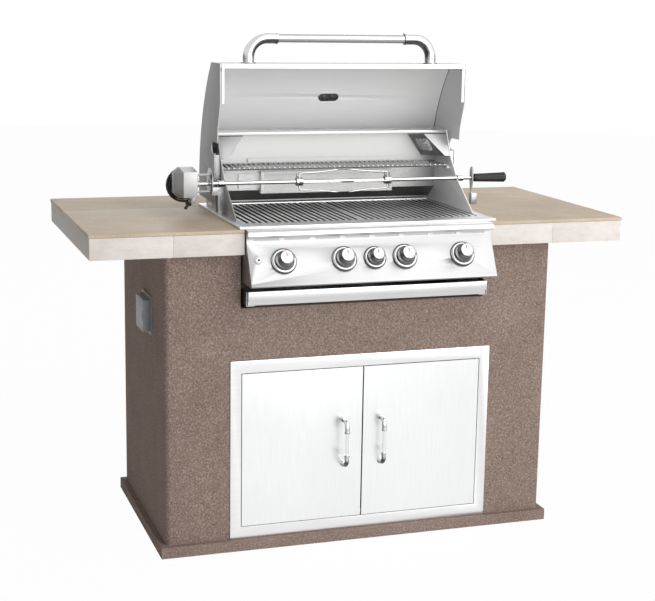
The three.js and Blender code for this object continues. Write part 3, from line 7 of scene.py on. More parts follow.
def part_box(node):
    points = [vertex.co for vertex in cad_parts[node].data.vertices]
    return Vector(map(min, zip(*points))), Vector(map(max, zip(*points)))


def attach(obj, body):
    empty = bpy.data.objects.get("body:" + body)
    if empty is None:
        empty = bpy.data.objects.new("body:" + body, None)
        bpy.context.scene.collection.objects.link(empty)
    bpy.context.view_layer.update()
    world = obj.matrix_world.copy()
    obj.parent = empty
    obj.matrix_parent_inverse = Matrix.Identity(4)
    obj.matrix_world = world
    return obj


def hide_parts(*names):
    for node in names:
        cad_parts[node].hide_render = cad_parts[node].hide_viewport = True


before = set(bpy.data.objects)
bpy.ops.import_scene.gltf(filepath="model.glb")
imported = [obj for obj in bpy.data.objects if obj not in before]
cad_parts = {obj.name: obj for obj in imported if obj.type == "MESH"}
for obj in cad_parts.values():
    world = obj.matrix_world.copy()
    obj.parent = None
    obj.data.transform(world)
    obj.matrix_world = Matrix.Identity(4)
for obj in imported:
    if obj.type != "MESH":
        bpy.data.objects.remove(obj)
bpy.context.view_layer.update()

# Camera. It stands at the left front of the island, a little above the counter, and looks down
# on it with a long lens, as the photograph was taken.
camera_place = (-1.343, -3.95635, 1.501)
turned_right = math.radians(18.555)
looking_down = math.radians(11.648)
leaning = math.radians(0.961)
ahead = Vector((math.sin(turned_right) * math.cos(looking_down),
                math.cos(turned_right) * math.cos(looking_down), -math.sin(looking_down)))
level = Vector((math.cos(turned_right), -math.sin(turned_right), 0))
upright = level.cross(ahead)
across = level * math.cos(leaning) + upright * math.sin(leaning)
upward = upright * math.cos(leaning) - level * math.sin(leaning)
camera = bpy.data.objects.new("camera", bpy.data.cameras.new("camera"))
bpy.context.scene.collection.objects.link(camera)
camera.data.lens = 78.6
camera.data.sensor_width = 36
camera.data.clip_end = 60
camera.matrix_world = Matrix.Translation(camera_place) @ Matrix(
    (across, upward, -ahead)).transposed().to_4x4()
bpy.context.scene.camera = camera
bpy.context.scene.view_settings.view_transform = "Standard"


# Motor lead. A round rubber cord of 6 mm leaves the gland of the spit motor in a tapered sleeve,
# is wound into a flat coil of two layers hung on the motor's peg, and ends in its plug.
counter_depth = 0.721
counter_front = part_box("counter_top_rear")[1].y - counter_depth


def spot(x, y, z):
    """A place in millimetres from the counter's front edge, as metres in the island's frame."""
    return Vector((x / 1000, y / 1000 + counter_front, z / 1000))


class Reading:
    """A number or colour that changes over a surface: a socket that takes part in sums."""

    def __init__(self, finish, socket):
        self.finish = finish
        self.socket = socket

    def reckon(self, operation, first, second=0.0):
        return self.finish.node("ShaderNodeMath", {"operation": operation}, {0: first, 1: second})

    def __add__(self, other):
        return self.reckon("ADD", self, other)

    def __radd__(self, other):
        return self.reckon("ADD", other, self)

    def __sub__(self, other):
        return self.reckon("SUBTRACT", self, other)

    def __rsub__(self, other):
        return self.reckon("SUBTRACT", other, self)

    def __mul__(self, other):
        return self.reckon("MULTIPLY", self, other)

    def __rmul__(self, other):
        return self.reckon("MULTIPLY", other, self)

    def __lt__(self, other):
        return self.reckon("LESS_THAN", self, other)

    def __gt__(self, other):
        return self.reckon("GREATER_THAN", self, other)

    def __abs__(self):
        return self.reckon("ABSOLUTE", self)


class Finish:
    """One surface finish: a principled shader and the nodes that vary it."""

    def __init__(self, name, **constants):
        self.material = bpy.data.materials.new(name)
        self.material.use_nodes = True
        self.tree = self.material.node_tree
        self.shader = self.tree.nodes["Principled BSDF"]
        for socket, value in constants.items():
            self.shader.inputs[socket.replace("_", " ")].default_value = value

    def node(self, kind, settings=None, sockets=None, out=0):
        made = self.tree.nodes.new(kind)
        for key, value in (settings or {}).items():
            if key == "stops":
                ramp = made.color_ramp
                while len(ramp.elements) < len(value):
                    ramp.elements.new(0.5)
                for element, (position, colour) in zip(ramp.elements, value):
                    element.position = position
                    element.color = colour
            else:
                setattr(made, key, value)
        for key, value in (sockets or {}).items():
            self.feed(made.inputs[key], value)
        return Reading(self, made.outputs[out])

    def feed(self, socket, value):
        if isinstance(value, Reading):
            self.tree.links.new(value.socket, socket)
        else:
            socket.default_value = value

    def give(self, **sockets):
        for socket, value in sockets.items():
            self.feed(self.shader.inputs[socket.replace("_", " ")], value)

    def lie(self, stretch=(1, 1, 1)):
        """Object coordinates in metres, stretched for a pattern."""
        seen = self.node("ShaderNodeTexCoord", out="Object")
        return self.node("ShaderNodeMapping", {}, {"Vector": seen, "Scale": stretch})

    def along(self, axis):
        """How far along the axis X, Y or Z a point lies, in metres."""
        return self.node("ShaderNodeSeparateXYZ", {}, {"Vector": self.lie()}, out=axis)

    def noise(self, scale, detail=3.0, rough=0.5, stretch=(1, 1, 1)):
        return self.node("ShaderNodeTexNoise", {}, {
            "Vector": self.lie(stretch), "Scale": scale, "Detail": detail, "Roughness": rough})

    def cells(self, scale):
        return self.node("ShaderNodeTexVoronoi", {}, {"Vector": self.lie(), "Scale": scale})

    def shades(self, reading, stops):
        """A colour ramp through sRGB colours given as 0 to 255."""
        return self.node("ShaderNodeValToRGB", {
            "stops": [(position, srgb(*colour)) for position, colour in stops]}, {"Fac": reading})

    def bump(self, height, strength, distance):
        return self.node("ShaderNodeBump", {}, {
            "Height": height, "Strength": strength, "Distance": distance})


def srgb(red, green, blue):
    """A colour written as 0 to 255, as the shader's linear values."""
    channels = [c / 255 for c in (red, green, blue)]
    return (*(c / 12.92 if c <= 0.04045 else ((c + 0.055) / 1.055) ** 2.4 for c in channels), 1.0)


cord_rubber = Finish("black cord rubber", Specular_IOR_Level=0.35)
scuff = cord_rubber.noise(260, 4)
cord_rubber.give(
    Base_Color=cord_rubber.shades(scuff, [(0.3, (22, 22, 23)), (0.7, (42, 41, 40))]),
    Roughness=scuff * 0.3 + 0.38,
    Normal=cord_rubber.bump(scuff, 0.12, 0.0004))


def cord_along(name, points, swellings):
    """A round cord along points, each with its thickness as a share of the cord's own."""
    line = bpy.data.curves.new(name, "CURVE")
    line.dimensions = "3D"
    line.bevel_depth = 0.003
    line.bevel_resolution = 4
    line.use_fill_caps = True
    line.splines.new("POLY").points.add(len(points) - 1)
    for point, place, swelling in zip(line.splines[0].points, points, swellings):
        point.co = (*place, 1)
        point.radius = swelling
    line.splines[0].use_smooth = True
    line.materials.append(cord_rubber.material)
    piece = bpy.data.objects.new(name, line)
    bpy.context.scene.collection.objects.link(piece)
    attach(piece, "base")
    return piece


coil_x, coil_z = -463.5, 1004.5
coil_radius = 47.5
coil_pitch = 6.7
turns_in = 3.5
turns_all = turns_in + 3 + 1 / 3
points_a_turn = 24
turns_to_next_layer = 0.5
turns_to_peel_off = 0.25
gland_xs = (-448.3, -451.5, -454.5, -457.5)
cord_layer = 278.3
cord_radius = 3
plug_half = 9
plug_gap = 0.6
tail_layer = cord_layer + coil_pitch + cord_radius + plug_half + plug_gap
tail_length = 0.006
lead = [spot(x, cord_layer, coil_z - coil_radius) for x in gland_xs]
coil_steps = int(turns_all * points_a_turn)
for step in range(coil_steps + 1):
    turned = turns_all * step / coil_steps
    angle = -math.pi / 2 - 2 * math.pi * turned
    radius = coil_radius - coil_pitch * (turns_in - abs(turns_in - turned))
    climb = min(max((turned - turns_in) / turns_to_next_layer + 0.5, 0), 1)
    peel = min(max((turned - turns_all + turns_to_peel_off) / turns_to_peel_off, 0), 1)
    peel = peel * peel * (3 - 2 * peel)
    layer = cord_layer + coil_pitch * climb + (tail_layer - cord_layer - coil_pitch) * peel
    lead.append(spot(coil_x + radius * math.cos(angle), layer,
                     coil_z + radius * math.sin(angle)))
tail_along = Vector((math.sin(angle), 0, -math.cos(angle)))
lead.append(lead[-1] + tail_along * tail_length)
motor_lead = cord_along("motor_lead", lead, [1] * len(lead))
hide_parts("motor_cord", "cord_coil")

sleeve_points = 6
sleeve_start = 1.42
sleeve_taper = 0.36
cord_along("lead_strain_relief", lead[:sleeve_points], [
    sleeve_start - sleeve_taper * step / (sleeve_points - 1) for step in range(sleeve_points)])


# Floor and light. A plain pale floor under a white surround, one broad soft lamp at the right
# front, and two weaker ones, low in front and behind.
floor_shown_white = 0.975
surround_light = 0.21
bpy.ops.mesh.primitive_circle_add(vertices=96, radius=14, fill_type="NGON")
floor = bpy.context.active_object
floor.name = "studio_floor"
floor_paint = Finish("pale studio floor", Specular_IOR_Level=0.2)
dust = floor_paint.noise(3, 2)
floor_paint.give(
    Base_Color=floor_paint.shades(dust, [(0.3, (236, 236, 236)), (0.7, (240, 240, 239))]),
    Roughness=dust * 0.1 + 0.75)
seen_by_camera = floor_paint.node("ShaderNodeLightPath", out="Is Camera Ray")
seen_in_gloss = floor_paint.node("ShaderNodeLightPath", out="Is Glossy Ray")
seen_through = floor_paint.node("ShaderNodeLightPath", out="Is Transmission Ray")
shown_white = floor_paint.node("ShaderNodeEmission", {}, {"Color": (1, 1, 1, 1), "Strength": 1.0})
floor_mix = floor_paint.node("ShaderNodeMixShader", {}, {
    0: (seen_by_camera + seen_in_gloss + seen_through) * floor_shown_white,
    1: Reading(floor_paint, floor_paint.shader.outputs["BSDF"]),
    2: shown_white})
floor_paint.feed(floor_paint.tree.nodes["Material Output"].inputs["Surface"], floor_mix)
floor.data.materials.append(floor_paint.material)

world = bpy.data.worlds.new("white surround")
bpy.context.scene.world = world
world.use_nodes = True
sky = world.node_tree
paths = sky.nodes.new("ShaderNodeLightPath")
direct = sky.nodes.new("ShaderNodeMath")
direct.operation = "MAXIMUM"
shown = sky.nodes.new("ShaderNodeMath")
shown.operation = "MAXIMUM"
sky.links.new(paths.outputs["Is Camera Ray"], direct.inputs[0])
sky.links.new(paths.outputs["Is Glossy Ray"], direct.inputs[1])
sky.links.new(direct.outputs[0], shown.inputs[0])
sky.links.new(paths.outputs["Is Transmission Ray"], shown.inputs[1])
strength = sky.nodes.new("ShaderNodeMix")
strength.inputs["A"].default_value = surround_light
strength.inputs["B"].default_value = 1.0
sky.links.new(shown.outputs[0], strength.inputs["Factor"])
sky.nodes["Background"].inputs["Color"].default_value = (1, 1, 1, 1)
sky.links.new(strength.outputs["Result"], sky.nodes["Background"].inputs["Strength"])


def soft_lamp(name, place, aim, size, power):
    lamp = bpy.data.lights.new(name, "AREA")
    lamp.shape = "DISK"
    lamp.size = size
    lamp.energy = power
    stand = bpy.data.objects.new(name, lamp)
    bpy.context.scene.collection.objects.link(stand)
    stand.location = place
    stand.rotation_euler = (Vector(aim) - Vector(place)).to_track_quat("-Z", "Y").to_euler()


soft_lamp("right_front_lamp", (2.6, -4.2, 3.4), (0, 0, 0.7), 7.0, 262)
soft_lamp("low_front_lamp", (0.2, -5.2, 0.5), (0, 0, 1.1), 5.0, 84)
soft_lamp("back_lamp", (0.5, 3.6, 3.6), (0, 0, 0.8), 4.5, 50)


# Cabinet. Cement board on a stud frame, coated with coarse sand stucco in mixed browns, with a
# wider plinth of the same coat round its foot.
def dressed(node, finish, body, rounding=0.0, crease=28):
    """The CAD piece's own shape with welded corners, eased edges and smooth curves."""
    same_point = 0.000004
    flat_enough = math.radians(0.5)
    sharp_edge = math.radians(40)
    bpy.ops.object.select_all(action="DESELECT")
    piece = bpy.data.objects.new(node + "_finished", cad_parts[node].data.copy())
    bpy.context.scene.collection.objects.link(piece)
    bpy.context.view_layer.objects.active = piece
    piece.select_set(True)
    piece.data.materials.clear()
    piece.data.materials.append(finish.material)
    bpy.ops.object.mode_set(mode="EDIT")
    bpy.ops.mesh.select_all(action="SELECT")
    bpy.ops.mesh.remove_doubles(threshold=same_point)
    bpy.ops.mesh.dissolve_limited(angle_limit=flat_enough)
    bpy.ops.object.mode_set(mode="OBJECT")
    if piece.data.has_custom_normals:
        bpy.ops.mesh.customdata_custom_splitnormals_clear()
    if rounding:
        bevel = piece.modifiers.new("eased edges", "BEVEL")
        bevel.width = rounding
        bevel.segments = 2
        bevel.limit_method = "ANGLE"
        bevel.angle_limit = sharp_edge
        bpy.ops.object.modifier_apply(modifier=bevel.name)
    bpy.ops.object.shade_smooth_by_angle(angle=math.radians(crease))
    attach(piece, body)
    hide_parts(node)


stucco = Finish("sand stucco", Specular_IOR_Level=0.25)
sand = stucco.noise(215, 5, 0.78)
patches = stucco.noise(9, 4, 0.6)
pits = stucco.cells(150)
stucco.give(
    Base_Color=stucco.shades(sand * 0.9 + patches * 0.1, [
        (0.3, (68, 54, 47)), (0.44, (130, 112, 102)),
        (0.56, (151, 133, 123)), (0.7, (203, 188, 176))]),
    Roughness=sand * 0.15 + 0.82,
    Normal=stucco.bump(sand * 0.75 + pits * 0.25 + patches * 0.5, 0.55, 0.004))
dressed("base_cabinet", stucco, "base")


# Counter. A cement backer core with a pale plastered edge, and large beige stone tiles on top,
# with sawn joints between them.
counter_stone = Finish("beige stone tile", Specular_IOR_Level=0.4)
clouds = counter_stone.noise(5, 6, 0.62)
grit = counter_stone.noise(170, 4, 0.6)
counter_stone.give(
    Base_Color=counter_stone.shades(clouds * 0.6 + grit * 0.4, [
        (0.3, (180, 160, 136)), (0.5, (203, 185, 164)), (0.7, (220, 205, 187))]),
    Roughness=grit * 0.25 + 0.45,
    Normal=counter_stone.bump(grit * 0.7 + clouds, 0.2, 0.0015))
for node in ("counter_top_left", "counter_top_right", "counter_top_rear"):
    dressed(node, counter_stone, "base", 0.0006)

edge_plaster = Finish("pale edge plaster", Specular_IOR_Level=0.3)
trowel = edge_plaster.noise(30, 5, 0.6, (1, 1, 2))
fleck = edge_plaster.noise(420, 3, 0.6)
edge_plaster.give(
    Base_Color=edge_plaster.shades(trowel * 0.5 + fleck * 0.5, [
        (0.3, (212, 204, 198)), (0.5, (226, 219, 213)), (0.7, (236, 231, 226))]),
    Roughness=fleck * 0.2 + 0.6,
    Normal=edge_plaster.bump(trowel + fleck * 0.3, 0.2, 0.001))
dressed("counter_core", edge_plaster, "base", 0.0012)


# Access doors. Stainless sheet: a trim frame with a sleeve, and two folded pans whose faces are
# brushed upright.
def grey(shade):
    return (shade, shade, shade)


def brushed_steel(name, grain, tint, rough, metallic=1.0):
    """Stainless sheet whose streaks are fine across the grain and long along it."""
    dark_streak = 0.975
    bright_streak = 1.02
    steel = Finish(name, Metallic=metallic)
    streaks = steel.noise(1, 5, 0.65, grain)
    wide = steel.noise(3.5, 3, 0.5)
    low = tuple(round(c * dark_streak) for c in tint)
    high = tuple(min(round(c * bright_streak), 255) for c in tint)
    steel.give(
        Base_Color=steel.shades(streaks * 0.7 + wide * 0.3, [(0.32, low), (0.68, high)]),
        Roughness=streaks * 0.14 + wide * 0.06 + (rough - 0.1),
        Normal=steel.bump(streaks, 0.02, 0.0006))
    return steel


grain_upright = (420, 420, 9)
grain_level = (9, 420, 420)
grain_deep = (420, 9, 420)
door_steel = brushed_steel("door steel brushed upright", grain_upright, (241, 242, 242), 0.34)
trim_steel = brushed_steel("trim steel brushed level", grain_level, grey(229), 0.32)
for side in ("left", "right"):
    dressed("door_" + side, door_steel, side + "_door", 0.0007)
dressed("door_frame", trim_steel, "base", 0.0008)


# Hinge rods. A thin polished steel rod stands at the outer edge of each door, held by the trim
# frame, and the door's pan turns on it.
def chromed(name, low=58, high=214, rough=0.08):
    """Polished chrome with painted reflections, a little darker where a surface turns down or
    sideways.
    """
    chrome = Finish(name, Metallic=1.0)
    wipe = chrome.noise(70, 3, 0.5)
    facing = chrome.node("ShaderNodeTexCoord", out="Normal")
    sideways = chrome.node("ShaderNodeSeparateXYZ", {}, {"Vector": facing}, out="X")
    skyward = chrome.node("ShaderNodeSeparateXYZ", {}, {"Vector": facing}, out="Z")
    # Painted reflection: light on faces that look up, dark on faces that turn sideways or down;
    # the wipe noise adds real smudging.
    painted_reflection_and_smudge = skyward * 0.5 - sideways * sideways * 0.16 + wipe * 0.16 + 0.42
    middle = (low + high) // 2
    chrome.give(
        Base_Color=chrome.shades(painted_reflection_and_smudge, [
            (0.06, grey(middle)), (0.3, grey(low)), (0.4, grey(middle)), (0.5, grey(high))]),
        Roughness=wipe * 0.1 + rough,
        Normal=chrome.bump(wipe, 0.01, 0.0002))
    return chrome


polished = chromed("polished chrome")
for side in ("left", "right"):
    dressed("hinge_rod_" + side, polished, "base")


# Door pulls. Each is a satin tube that stands upright on its door, held off the face by two
# chromed elbows, which have round feet against the sheet and collars round the tube's ends.
def arc_points(corner, toward_start, toward_end, bend, steps=14):
    """Points round a quarter bend, from the leg toward_start to the leg toward_end."""
    c, u, v = Vector(corner), Vector(toward_start), Vector(toward_end)
    return [c + u * bend * (1 - math.sin(t)) + v * bend * (1 - math.cos(t))
            for t in (math.pi / 2 * i / steps for i in range(steps + 1))]


def bent_round(name, points, radius, finish, sides=6):
    """A round bar or tube along points, made a mesh with closed ends."""
    sharp_edge = math.radians(40)
    bpy.ops.object.select_all(action="DESELECT")
    path = bpy.data.curves.new(name, "CURVE")
    path.dimensions = "3D"
    path.bevel_depth = radius
    path.bevel_resolution = sides
    path.use_fill_caps = True
    path.splines.new("POLY").points.add(len(points) - 1)
    for point, place in zip(path.splines[0].points, points):
        point.co = (*place, 1)
    piece = bpy.data.objects.new(name, path)
    bpy.context.scene.collection.objects.link(piece)
    bpy.context.view_layer.objects.active = piece
    piece.select_set(True)
    bpy.ops.object.convert(target="MESH")
    piece = bpy.context.active_object
    piece.data.materials.clear()
    piece.data.materials.append(finish.material)
    bpy.ops.object.shade_smooth_by_angle(angle=sharp_edge)
    return piece


def turned_round(name, profile, foot, axis, finish, steps=48):
    """A piece turned on a lathe: (radius, height) pairs spun about the axis that leaves foot."""
    same_point = 0.000002
    sharp_edge = math.radians(32)
    bpy.ops.object.select_all(action="DESELECT")
    edges = [(i, i + 1) for i in range(len(profile) - 1)]
    mesh = bpy.data.meshes.new(name)
    mesh.from_pydata([(radius, 0, height) for radius, height in profile], edges, [])
    piece = bpy.data.objects.new(name, mesh)
    bpy.context.scene.collection.objects.link(piece)
    bpy.context.view_layer.objects.active = piece
    piece.select_set(True)
    bpy.ops.object.mode_set(mode="EDIT")
    bpy.ops.mesh.select_all(action="SELECT")
    bpy.ops.mesh.spin(steps=steps, angle=2 * math.pi, center=(0, 0, 0), axis=(0, 0, 1))
    bpy.ops.mesh.select_all(action="SELECT")
    bpy.ops.mesh.remove_doubles(threshold=same_point)
    bpy.ops.mesh.normals_make_consistent(inside=False)
    bpy.ops.object.mode_set(mode="OBJECT")
    turn = Vector((0, 0, 1)).rotation_difference(Vector(axis)).to_matrix().to_4x4()
    piece.data.transform(Matrix.Translation(foot) @ turn)
    piece.data.materials.append(finish.material)
    bpy.ops.object.shade_smooth_by_angle(angle=sharp_edge)
    return piece


def kept_together(name, pieces, body, slot, *nodes):
    """Joins modelled pieces into one that rides on a body and stands for CAD nodes."""
    bpy.ops.object.select_all(action="DESELECT")
    for piece in pieces:
        piece.select_set(True)
    bpy.context.view_layer.objects.active = pieces[0]
    bpy.ops.object.join()
    whole = bpy.context.active_object
    whole.name = name
    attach(whole, body)
    if nodes:
        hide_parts(*nodes)


pull_tube = brushed_steel("handle tube brushed round", (600, 600, 40), grey(232), 0.26)
pull_x = 55.5
pull_middle = 292.6
pull_half = 65.5
door_face = 37.2
in_door = 1.3
tube_line = door_face - 29.7
elbow_bend = 0.020
elbow_radius = 0.0065
elbow_reach = 33
collar_reach = 34.2
tube_half = 34
tube_radius = 0.005
pull_foot_profile = [(0, 0), (0.009, 0), (0.009, 0.0015), (0.0078, 0.0025), (0, 0.0025)]
pull_collar_profile = [(0.005, 0), (0.0070, 0), (0.0077, 0.0008), (0.0077, 0.0052),
                       (0.0070, 0.006), (0.005, 0.006)]
for side, x in (("left", -pull_x), ("right", pull_x)):
    parts = []
    for end in (-1, 1):
        corner_z = pull_middle + end * pull_half
        corner = spot(x, tube_line, corner_z)
        elbow = [spot(x, door_face - in_door, corner_z),
                 *arc_points(corner, (0, 1, 0), (0, 0, -end), elbow_bend),
                 spot(x, tube_line, corner_z - end * elbow_reach)]
        parts.append(bent_round("elbow", elbow, elbow_radius, polished))
        parts.append(turned_round("foot", pull_foot_profile, spot(x, door_face, corner_z),
                                  (0, -1, 0), polished, 32))
        parts.append(turned_round("collar", pull_collar_profile,
                                  spot(x, tube_line, corner_z - end * collar_reach),
                                  (0, 0, end), polished, 32))
    tube_ends = [spot(x, tube_line, pull_middle - tube_half),
                 spot(x, tube_line, pull_middle + tube_half)]
    parts.append(bent_round("bar", tube_ends, tube_radius, pull_tube))
    kept_together("door_pull_" + side, parts, side + "_door", "polished", "door_handle_" + side)


# Outlet. A grey die-cast plate on the left side of the cabinet, over a two-way receptacle, with
# a deep flap that swings out on its rear edge.
cast_grey = Finish("grey die-cast cover", Specular_IOR_Level=0.4, Metallic=0.25)
cast_grain = cast_grey.noise(500, 4, 0.6)
cast_grey.give(
    Base_Color=cast_grey.shades(cast_grain, [(0.3, (124, 127, 131)), (0.7, (156, 159, 162))]),
    Roughness=cast_grain * 0.2 + 0.45,
    Normal=cast_grey.bump(cast_grain, 0.15, 0.0004))
dressed("outlet_box", cast_grey, "base")
dressed("outlet_flap", cast_grey, "outlet_cover", 0.0005)


# Grill body. The firebox is dark steel, partly heat stain and partly painted shade, clean only
# on its front face, under a bright stainless deck and a rolled front rail, with burners, heat
# plates and the gas pipe inside.
deck_steel = brushed_steel("deck steel brushed level", grain_level, grey(210), 0.34)
firebox_steel = Finish("heat-stained firebox steel with painted shade", Metallic=0.2)
# The inside's dark tones are partly heat stain and partly painted shade; the front face stays
# bright.
soot_and_painted_shade = firebox_steel.noise(26, 6, 0.65)
clean_front = firebox_steel.along("Y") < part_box("firebox")[0].y + 0.0006
firebox_steel.give(
    Base_Color=firebox_steel.shades(soot_and_painted_shade * 0.8 + clean_front * 0.4, [
        (0.24, grey(12)), (0.44, (26, 25, 24)), (0.6, (46, 44, 42)),
        (0.64, grey(176)), (1.0, grey(214))]),
    Roughness=soot_and_painted_shade * 0.3 + 0.35,
    Normal=firebox_steel.bump(soot_and_painted_shade, 0.1, 0.001))
dressed("firebox", firebox_steel, "base")
dressed("deck", deck_steel, "base", 0.0005)
dressed("front_rail", deck_steel, "base")
# Burners and heat plates are near black, partly from scale and stain and partly as painted shade.
burner_iron = Finish("burner iron with painted shade", Metallic=0.6)
scale_and_painted_shade = burner_iron.noise(160, 5, 0.7)
burner_iron.give(
    Base_Color=burner_iron.shades(scale_and_painted_shade, [(0.3, (12, 11, 10)), (0.7, (28, 25, 23))]),
    Roughness=scale_and_painted_shade * 0.2 + 0.6,
    Normal=burner_iron.bump(scale_and_painted_shade, 0.3, 0.0008))
heat_plate_stain_and_shade = brushed_steel("heat plate steel with painted shade", grain_deep, (26, 25, 24), 0.6, 0.2)
for number in range(1, 5):
    dressed(f"burner_{number}", burner_iron, "base")
    dressed(f"heat_plate_{number}", heat_plate_stain_and_shade, "base")
pipe_metal = Finish("galvanised pipe", Metallic=0.9)
spangle = pipe_metal.cells(190)
pipe_metal.give(
    Base_Color=pipe_metal.shades(spangle, [(0.1, (138, 141, 144)), (0.8, (176, 178, 180))]),
    Roughness=spangle * 0.2 + 0.35,
    Normal=pipe_metal.bump(spangle, 0.05, 0.0005))
dressed("gas_manifold", pipe_metal, "base")


# Grates. Two loose sections of stainless bars lie side by side in the firebox, bright on top from
# wear and dark on their sides and below, partly as blackening and partly as painted shade.
grate_steel = Finish("grate bar steel", Metallic=0.8)
grate_streaks = grate_steel.noise(1, 4, 0.6, grain_deep)
grate_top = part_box("grate_left")[1].z
# Bright over the bars' top few millimetres, dark below: partly wear, partly painted shade.
bright_top_and_shaded_sides = grate_steel.node("ShaderNodeMapRange", {"interpolation_type": "SMOOTHSTEP"}, {
    "Value": grate_steel.along("Z"), "From Min": grate_top - 0.0036,
    "From Max": grate_top - 0.0006, "To Min": 0.0, "To Max": 1.0})
grate_steel.give(
    Base_Color=grate_steel.shades(bright_top_and_shaded_sides * 0.8 + grate_streaks * 0.2, [
        (0.08, grey(24)), (0.35, (70, 69, 68)), (0.9, grey(240))]),
    Roughness=grate_streaks * 0.15 + 0.24,
    Normal=grate_steel.bump(grate_streaks, 0.02, 0.0003))
for side in ("left", "right"):
    dressed("grate_" + side, grate_steel, "base", 0.0004)


# Control panel. One sloped sheet, brushed level and bent at its top and foot, hangs under the
# front rail with a row of vent windows along its upper bend.
panel_steel = brushed_steel("panel steel brushed level", grain_level, grey(161), 0.36)
dressed("control_panel", panel_steel, "base", 0.0004)


# Vent strip. A narrow strip of the panel's sheet stands behind the row of vent windows under the
# rail and closes their lower half.
panel_bend_y, panel_bend_z = -5, 879
panel_sheet = 1.6
strip_size = (0.690, 0.001, 0.0086)
strip_z = 0.8852
strip_gap = 0.0007
strip_y = spot(0, panel_bend_y + panel_sheet, 0).y + strip_gap
bpy.ops.object.select_all(action="DESELECT")
bpy.ops.mesh.primitive_cube_add(size=1, location=(0, 0, 0))
vent_strip = bpy.context.active_object
vent_strip.name = "vent_strip"
vent_strip.data.transform(
    Matrix.Translation((0, strip_y, strip_z)) @ Matrix.Diagonal((*strip_size, 1)))
strip_edge = vent_strip.modifiers.new("eased edges", "BEVEL")
strip_edge.width = 0.0003
strip_edge.segments = 2
bpy.ops.object.modifier_apply(modifier=strip_edge.name)
vent_strip.data.materials.append(panel_steel.material)
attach(vent_strip, "base")


# Drip tray. A shallow pan of brushed sheet that slides out on two runners; its channel front
# closes the space below the control panel.
tray_steel = brushed_steel("tray steel brushed level", grain_level, grey(206), 0.34)
dressed("drip_tray", tray_steel, "tray", 0.0005)


# Knobs. Five turned and chromed caps, each with a dark groove round its top and a red pointer,
# stand on their stems in chromed bezels; the middle one is a little smaller. The groove's dark
# colour and a dark disc inside each bezel, under the cap, are painted shade.
panel_tilt = math.atan2(56, 107)
panel_out = Vector((0, -math.cos(panel_tilt), math.sin(panel_tilt)))
panel_down = Vector((0, -math.sin(panel_tilt), -math.cos(panel_tilt)))


def on_panel(x, down):
    """A place on the sloped panel, in millimetres across and down from its upper bend."""
    return spot(x, panel_bend_y, panel_bend_z) + panel_down * down / 1000


knob_chrome = chromed("knob chrome", 84, 190, 0.16)
bezel_chrome = chromed("bezel chrome", 66, 186, 0.12)
# Dark colour for real dark parts, such as dial marks, the needle's boss and the lens dot, and for
# painted shade in the knobs' grooves and bezels.
dark_paint_and_painted_shade = Finish("dark paint and painted shade", Specular_IOR_Level=0.3)
gap_dust = dark_paint_and_painted_shade.noise(300, 3)
dark_paint_and_painted_shade.give(
    Base_Color=dark_paint_and_painted_shade.shades(gap_dust, [(0.3, (26, 26, 27)), (0.7, (44, 44, 45))]),
    Roughness=gap_dust * 0.2 + 0.5)
pointer_red = Finish("red pointer enamel", Specular_IOR_Level=0.5)
pointer_dust = pointer_red.noise(500, 3)
pointer_red.give(
    Base_Color=pointer_red.shades(pointer_dust, [(0.3, (176, 34, 38)), (0.7, (200, 48, 50))]),
    Roughness=pointer_dust * 0.2 + 0.3)

bezel_profile = [(0.02655, 0.0005), (0.0358, 0.0005), (0.0358, 0.0032), (0.0352, 0.0048),
                 (0.0338, 0.0064), (0.0318, 0.0078), (0.0300, 0.0085), (0.0284, 0.0084),
                 (0.0272, 0.0075), (0.02655, 0.0060), (0.02655, 0.0005)]
shade_profile = [(0.0045, 0.0006), (0.0265, 0.0006), (0.0265, 0.0012), (0.0045, 0.0012),
                 (0.0045, 0.0006)]
knob_profile = [(0, 0.003), (0.0252, 0.003), (0.0259, 0.0036), (0.0261, 0.0060),
                (0.0261, 0.0134), (0.0257, 0.0146), (0.0246, 0.0158), (0.0222, 0.0176),
                (0.0209, 0.0196), (0.0205, 0.0240), (0.0201, 0.0330), (0.0196, 0.0368),
                (0.0184, 0.0392), (0.0172, 0.0399), (0.0160, 0.0396), (0.0152, 0.0385),
                (0, 0.0382)]
groove_radius, groove_height = 0.0187, 0.0388
groove_section = [(0, 0), (0.0007, 0.0002), (0.0010, -0.0006), (0.0003, -0.0008), (0, 0)]
pointer_height = 0.0386
pointer_start = 0.0130
pointer_length = 0.0100
pointer_radius = 0.0017
knobs_down = 55
middle_share = 0.9
for number, x in enumerate((-259, -88, 0, 88, 259), 1):
    share = middle_share if x == 0 else 1
    seat = on_panel(x, knobs_down)
    bezel = turned_round("bezel", [(r * share, h) for r, h in bezel_profile],
                         seat, panel_out, bezel_chrome, 64)
    # A dark disc inside the bezel, under the cap: painted shade.
    shade = turned_round("shade", shade_profile, seat, panel_out, dark_paint_and_painted_shade, 48)
    kept_together(f"bezel_{number}", [bezel, shade], "base", "polished")
    cap = turned_round("knob", [(r * share, h) for r, h in knob_profile],
                       seat, panel_out, knob_chrome, 64)
    # The groove round the cap's top is coloured dark as painted shade.
    groove = turned_round(
        "groove", [((groove_radius + r) * share, groove_height + h) for r, h in groove_section],
        seat, panel_out, dark_paint_and_painted_shade, 64)
    pointer_from = seat + panel_out * pointer_height - panel_down * pointer_start * share
    pointer = bent_round("marker", [pointer_from, pointer_from + panel_down * pointer_length],
                         pointer_radius, pointer_red, 2)
    kept_together(f"knob_cap_{number}", [cap, groove, pointer], f"burner_knob_{number}",
                  "polished", f"knob_{number}")


